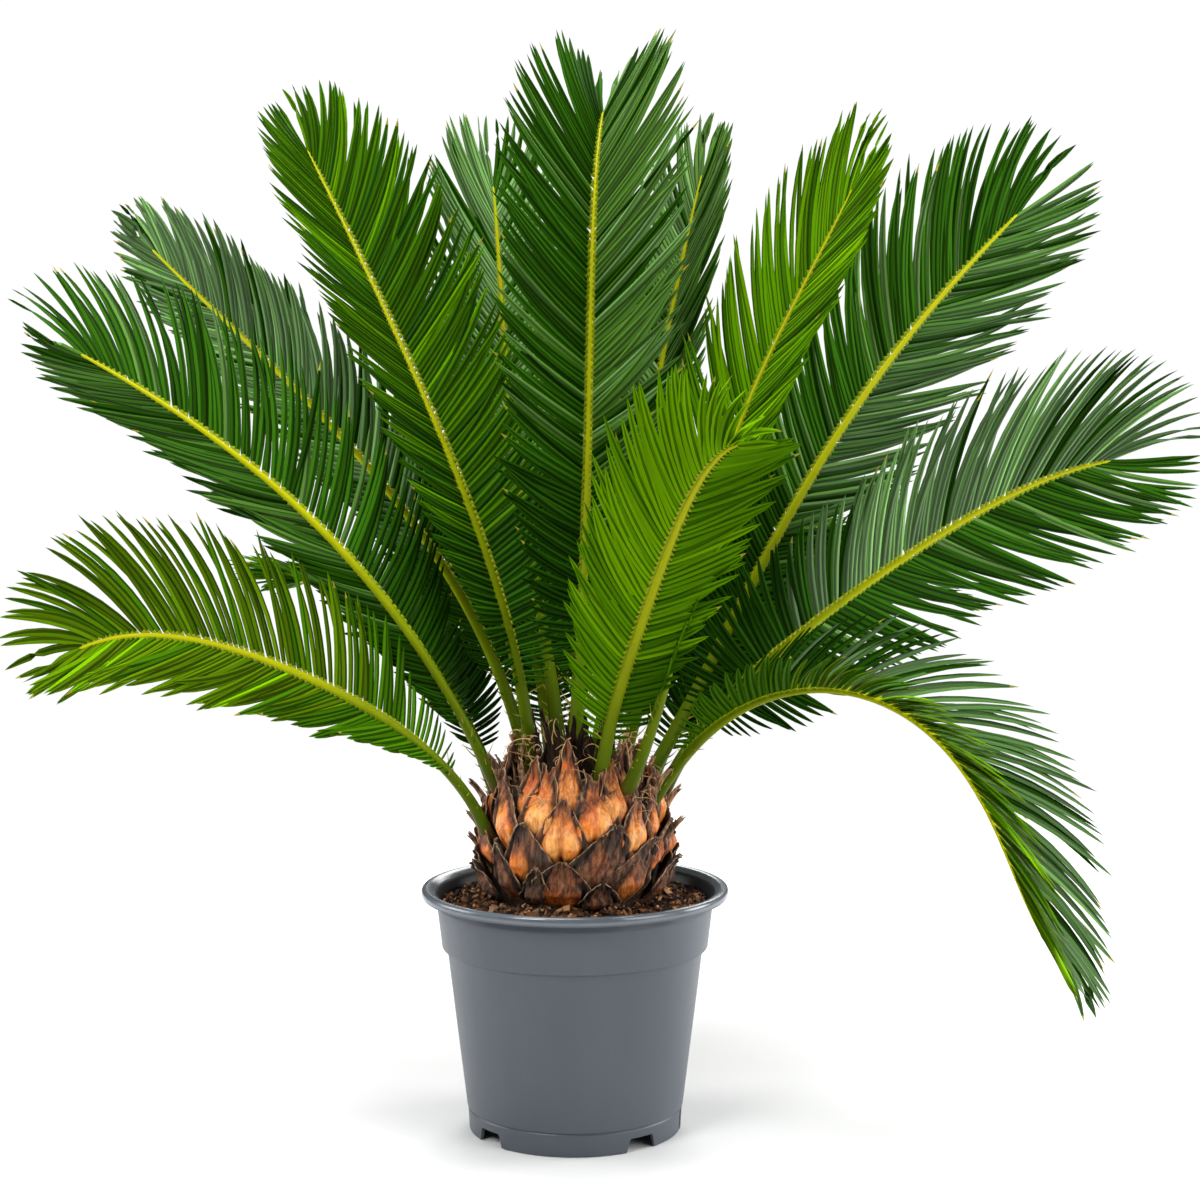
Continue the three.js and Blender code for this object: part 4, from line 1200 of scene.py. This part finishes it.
# %% The leaf bases at the sides and the back
# the sides and the back are armoured in even rows: which bases they join, the foot's height, length, reach to
# either side, fleshiness and dryness. Every second row is shifted by half a base
BACK_ROWS = [
    ("foot", 205, 44, 19, 0.35, 0.2), ("foot", 216, 50, 21, 0.5, 0.2),
    ("middle", 232, 56, 21, 0.7, 0.26), ("upper", 248, 58, 21, 0.95, 0.36),
    ("crown", 264, 60, 19, 0.92, 0.44), ("crown", 280, 60, 16, 0.78, 0.44),
]
IN_ROW = 8
for level, (tier, height, length, reach, flesh, dry) in enumerate(BACK_ROWS):
    shift = 0.5 * (level % 2)
    for k in range(IN_ROW):
        share = (k + shift) / (IN_ROW - 1 + shift)
        bearing = 180 * share + rng.uniform(-3, 3)
        low = height + rng.uniform(-3, 3)
        BASES[tier].append(dict(
            foot=(bearing, low), tip=(bearing + rng.uniform(-5, 5), low + length * rng.uniform(0.92, 1.12)),
            left=reach * rng.uniform(0.8, 1.15), right=reach * rng.uniform(0.8, 1.15), dry=dry,
            flesh=flesh * rng.uniform(0.7, 1.15), seed=500 + 40 * level + 3 * k,
            bulge=rng.uniform(0.85, 1.15), cleft=rng.choice([0, 0, 3]), pleats=rng.choice([0, 0.6, 1.0]),
            horn=rng.choice([0, 3, 8]),
        ))
print(sum(len(rows) for rows in BASES.values()), "bases in all")

# %% Lay the leaf bases
BASE_THICKNESS = 0.9


def thickened(piece, thickness):
    """Gives the piece real thickness with Blender's Solidify, inwards."""
    modifier = piece.modifiers.new("thickness", "SOLIDIFY")
    modifier.thickness = thickness * MM
    modifier.offset = -1
    apply_modifiers(piece)
    piece.data.shade_smooth()


for tier, rows in BASES.items():
    patches, flesh, edge = zip(*(leaf_base(**row) for row in rows))
    parts = [(points, grid_faces(GRID_ACROSS, GRID_UP)) for points in patches]
    bases = make_piece(f"leaf_bases_{tier}", *joined(parts), [skin])
    carry(bases, "flesh", np.concatenate(flesh))
    carry(bases, "edge", np.concatenate(edge))
    thickened(bases, BASE_THICKNESS)
    hand_over(bases, "leaf_base_bark", "trunk")

# %% [markdown]
# ## Stubs, sheaths and threads
# Where old fronds were cut, a dry stub hooks out of the trunk. Between the live stalks stand papery brown
# sheaths, and the torn edges of them and of the bases hang in curly tan threads. Hair particles could make
# the threads, but they don't leave Blender with the model, so each is a thin tube along a wandering line.

# %% Cut stubs
# bearing and height
STUBS = [
    (-171, 244), (-178, 222), (172, 268), (152, 288), (8, 262), (2, 238), (-14, 284), (62, 236), (112, 228),
    (140, 250),
]
STUB_LENGTH = 43
STUB_RINGS, STUB_CORNERS = 24, 16


def stub(bearing, height, seed):
    """A flat dry stub that rises, hooks out near its end and is torn off there."""
    draw = np.random.default_rng(seed)
    t = np.linspace(0, 1, STUB_RINGS)
    radius = np.interp(height, *ARMOUR) - 8 + STUB_LENGTH * (0.36 * t + 0.16 * t ** 5)
    sway = bearing + draw.normal(0, 4) * t
    line = around(sway, radius, height + STUB_LENGTH * 0.88 * t ** 1.2)
    ahead = unit(np.gradient(line, axis=0))
    across = around(sway + 90, 1, 0)
    out = np.cross(across, ahead)
    turn = np.arange(STUB_CORNERS) * 2 * math.pi / STUB_CORNERS
    ridges = 1 + 0.16 * waves(6, 0.9, 2.6, seed + 1)(*np.meshgrid(turn * 0.7, t * 0.8))
    wide = np.interp(t, [0, 0.4, 0.8, 1], [22, 15, 11, 12])[:, None] * draw.uniform(0.8, 1.1) / 2 * ridges
    deep = np.interp(t, [0, 0.4, 0.8, 1], [11, 7, 4.6, 4.4])[:, None] / 2 * ridges
    rings = ringed(line, across, out, wide * np.cos(turn), deep * np.sin(turn))
    torn = np.clip(t * 8 - 7, 0, 1)[:, None] * draw.uniform(-5, 3, STUB_CORNERS)
    rings = rings + ahead[:, None, :] * torn[..., None]
    points = np.vstack([rings.reshape(-1, 3), rings[-1].mean(axis=0) - 3 * ahead[-1]])
    return points, sleeve(STUB_RINGS, STUB_CORNERS, pointed=True)


dry_stalk = grained("dry_stalk", 0.75, 0.25, (260, 6, (1, 1, 0.3)),
                    [(0.34, (0.030, 0.015, 0.008)), (0.45, (0.16, 0.082, 0.042)), (0.62, (0.42, 0.25, 0.13))],
                    (0.8, 0.0008))
stub_parts = [stub(*place, 700 + 9 * k) for k, place in enumerate(STUBS)]
hand_over(make_piece("cut_stubs", *joined(stub_parts), [dry_stalk]), "leaf_base_bark", "trunk")

# %% Papery sheaths in the crown
SHEATH_ACROSS, SHEATH_UP = 9, 19
SHEATH_THICKNESS = 0.7
SPIRAL = 137.5  # degrees from one sheath to the next, as in most cones and crowns


def sheath(bearing, radius, height, width, length, lean, seed):
    """A long dry scale that stands up from the crown and curls at its tip."""
    across, up = np.meshgrid(np.linspace(-1, 1, SHEATH_ACROSS), np.linspace(0, 1, SHEATH_UP))
    ragged = waves(6, 0.3, 1.0, seed)
    half = np.interp(up, [0, 0.3, 0.7, 1], [0.8, 1, 0.5, 0.06]) * width / 2
    half = half * (1 + 0.12 * ragged(np.sign(across), up))
    out = radius + lean * up ** 1.6 * length - 0.35 * np.abs(across) ** 2 * half
    out = out + 0.8 * ragged(across, up * 2)
    z = height + length * up * (1 - 0.12 * lean * up)
    turn = np.radians(bearing) + (across * half + 3 * ragged(0.2, up) * up) / np.maximum(radius, 30)
    points = np.stack([out * np.cos(turn), out * np.sin(turn), z], -1)
    return points.reshape(-1, 3), grid_faces(SHEATH_ACROSS, SHEATH_UP)


# of each ring: how many, radius, height, width, length, lean outwards, share of its length in front, where
# the stalks stand free, and finish
SHEATH_RINGS = [
    (22, 63, 290, (9, 17), (26, 44), (0.0, 0.5), 0.62, dry_stalk),
    (26, 50, 294, (9, 16), (34, 56), (-0.1, 0.2), 0.62, dry_stalk),
    # the innermost ring wears the near-black wood, as painted shade in the heart of the crown
    (26, 30, 300, (9, 15), (48, 74), (-0.05, 0.15), 1, dark_wood_and_shade),
]
for ring, (count, radius, height, widths, lengths, leans, shorter, finish) in enumerate(SHEATH_RINGS):
    parts = []
    for k in range(count):
        bearing = k * SPIRAL + 40 * ring
        in_front = math.sin(math.radians(bearing)) < -0.3
        parts.append(sheath(
            bearing=bearing, radius=radius + rng.uniform(-5, 5), height=height, width=rng.uniform(*widths),
            length=rng.uniform(*lengths) * (shorter if in_front else 1), lean=rng.uniform(*leans),
            seed=900 + 40 * ring + k,
        ))
    sheaths = make_piece(f"crown_sheaths_{ring + 1}", *joined(parts), [finish])
    thickened(sheaths, SHEATH_THICKNESS)
    hand_over(sheaths, "leaf_base_bark", "trunk")

# %% Curly threads
THREADS = 170
THREAD_STEPS = 12


def tube(line, widths, sides=4):
    """A thin tube through the points of a line, closed at both ends."""
    line = np.asarray(line, float)
    ahead = unit(np.gradient(line, axis=0))
    helper = np.where(np.abs(ahead[:, 2:3]) > 0.9, np.array([[1.0, 0, 0]]), UP)
    across = unit(np.cross(ahead, helper))
    turn = np.arange(sides) * 2 * math.pi / sides
    radii = np.asarray(widths, float)[:, None] / 2
    rings = ringed(line, across, np.cross(across, ahead), radii * np.cos(turn), radii * np.sin(turn))
    return rings.reshape(-1, 3), sleeve(len(line), sides, pointed=False)


def thread(seed):
    """A thin tan thread that starts at the armour or in the crown and wanders."""
    draw = np.random.default_rng(seed)
    bearing = draw.uniform(0, 360)
    height = draw.uniform(288, 352)
    radius = np.interp(height, *ARMOUR) * draw.uniform(0.7, 1.05)
    length = draw.uniform(12, 38)
    heading = unit(around(bearing, draw.uniform(0.1, 0.9), draw.uniform(-0.1, 1.1)))
    turn_axis = unit(draw.normal(0, 1, 3))
    line = [around(bearing, radius, height)]
    bend = draw.normal(0, 0.36)
    for _ in range(THREAD_STEPS):
        heading = unit(heading + bend * np.cross(turn_axis, heading) + draw.normal(0, 0.07, 3))
        line.append(line[-1] + heading * length / THREAD_STEPS)
    thinning = np.interp(np.linspace(0, 1, THREAD_STEPS + 1), [0, 0.4, 1], [1.3, 0.9, 0.3])
    return tube(line, thinning * draw.uniform(0.7, 1.2))


dry_thread = Finish("dry_thread", 0.7, 0.3)
dry_thread.colour((0.52, 0.31, 0.13))
dry_thread.roughness(dry_thread.spread(dry_thread.speckle(500, 3), 0.6, 0.85))
threads = make_piece("crown_threads", *joined([thread(1200 + k) for k in range(THREADS)]), [dry_thread])
hand_over(threads, "leaf_base_bark", "trunk")

# %% Spines of the stalks
SPINE_GAP = 8  # mm from one spine to the next
FIRST_SPINE = 0.035  # share of the frond below the spines
SPINE_WIDTH = 1.7


def stalk_spines(frond, draw):
    """Short thorns on both edges of a bare stalk, where the lowest leaflets have shrunk to spines."""
    count = int((FIRST_LEAFLET - 0.03) * frond["length"] / SPINE_GAP)
    spines = []
    for row in (1, -1):
        s = np.linspace(FIRST_SPINE, FIRST_LEAFLET, count) + draw.normal(0, 0.004, count)
        place, along, side, face = blade_frame(frond, s)
        reach = np.linspace(5, 15, count) * draw.uniform(0.7, 1.3, count)
        for k in range(count):
            slant = math.radians(draw.uniform(35, 80))
            heading = along[k] * math.cos(slant) + side[k] * row * math.sin(slant)
            heading = heading + face[k] * draw.normal(0.15, 0.2)
            hook = UP * draw.uniform(-0.1, 0.5)
            start = place[k] + side[k] * row * tapered(*RIB_WIDTH, s[k]) * 0.4
            t = np.linspace(0, 1, 5)[:, None]
            line = start + reach[k] * (heading * t + hook * t ** 2)
            spines.append(tube(line, SPINE_WIDTH * (1 - 0.85 * t[:, 0])))
    return spines


draw = np.random.default_rng(77)
spine_parts = [spine for frond in FRONDS.values() for spine in stalk_spines(frond, draw)]
green_or_straw = [np.full(len(faces), draw.integers(0, 2)) for _, faces in spine_parts]
# the spines wear the mid green's lighter edge tone, which carries the painted edge highlight
spines = make_piece("stalk_spines", *joined(spine_parts), [leaf_greens["mid"][2], leaf_tip],
                    np.concatenate(green_or_straw))
hand_over(spines, "frond_green", *(node for name in FRONDS for node in nodes_of(name)))

# %% [markdown]
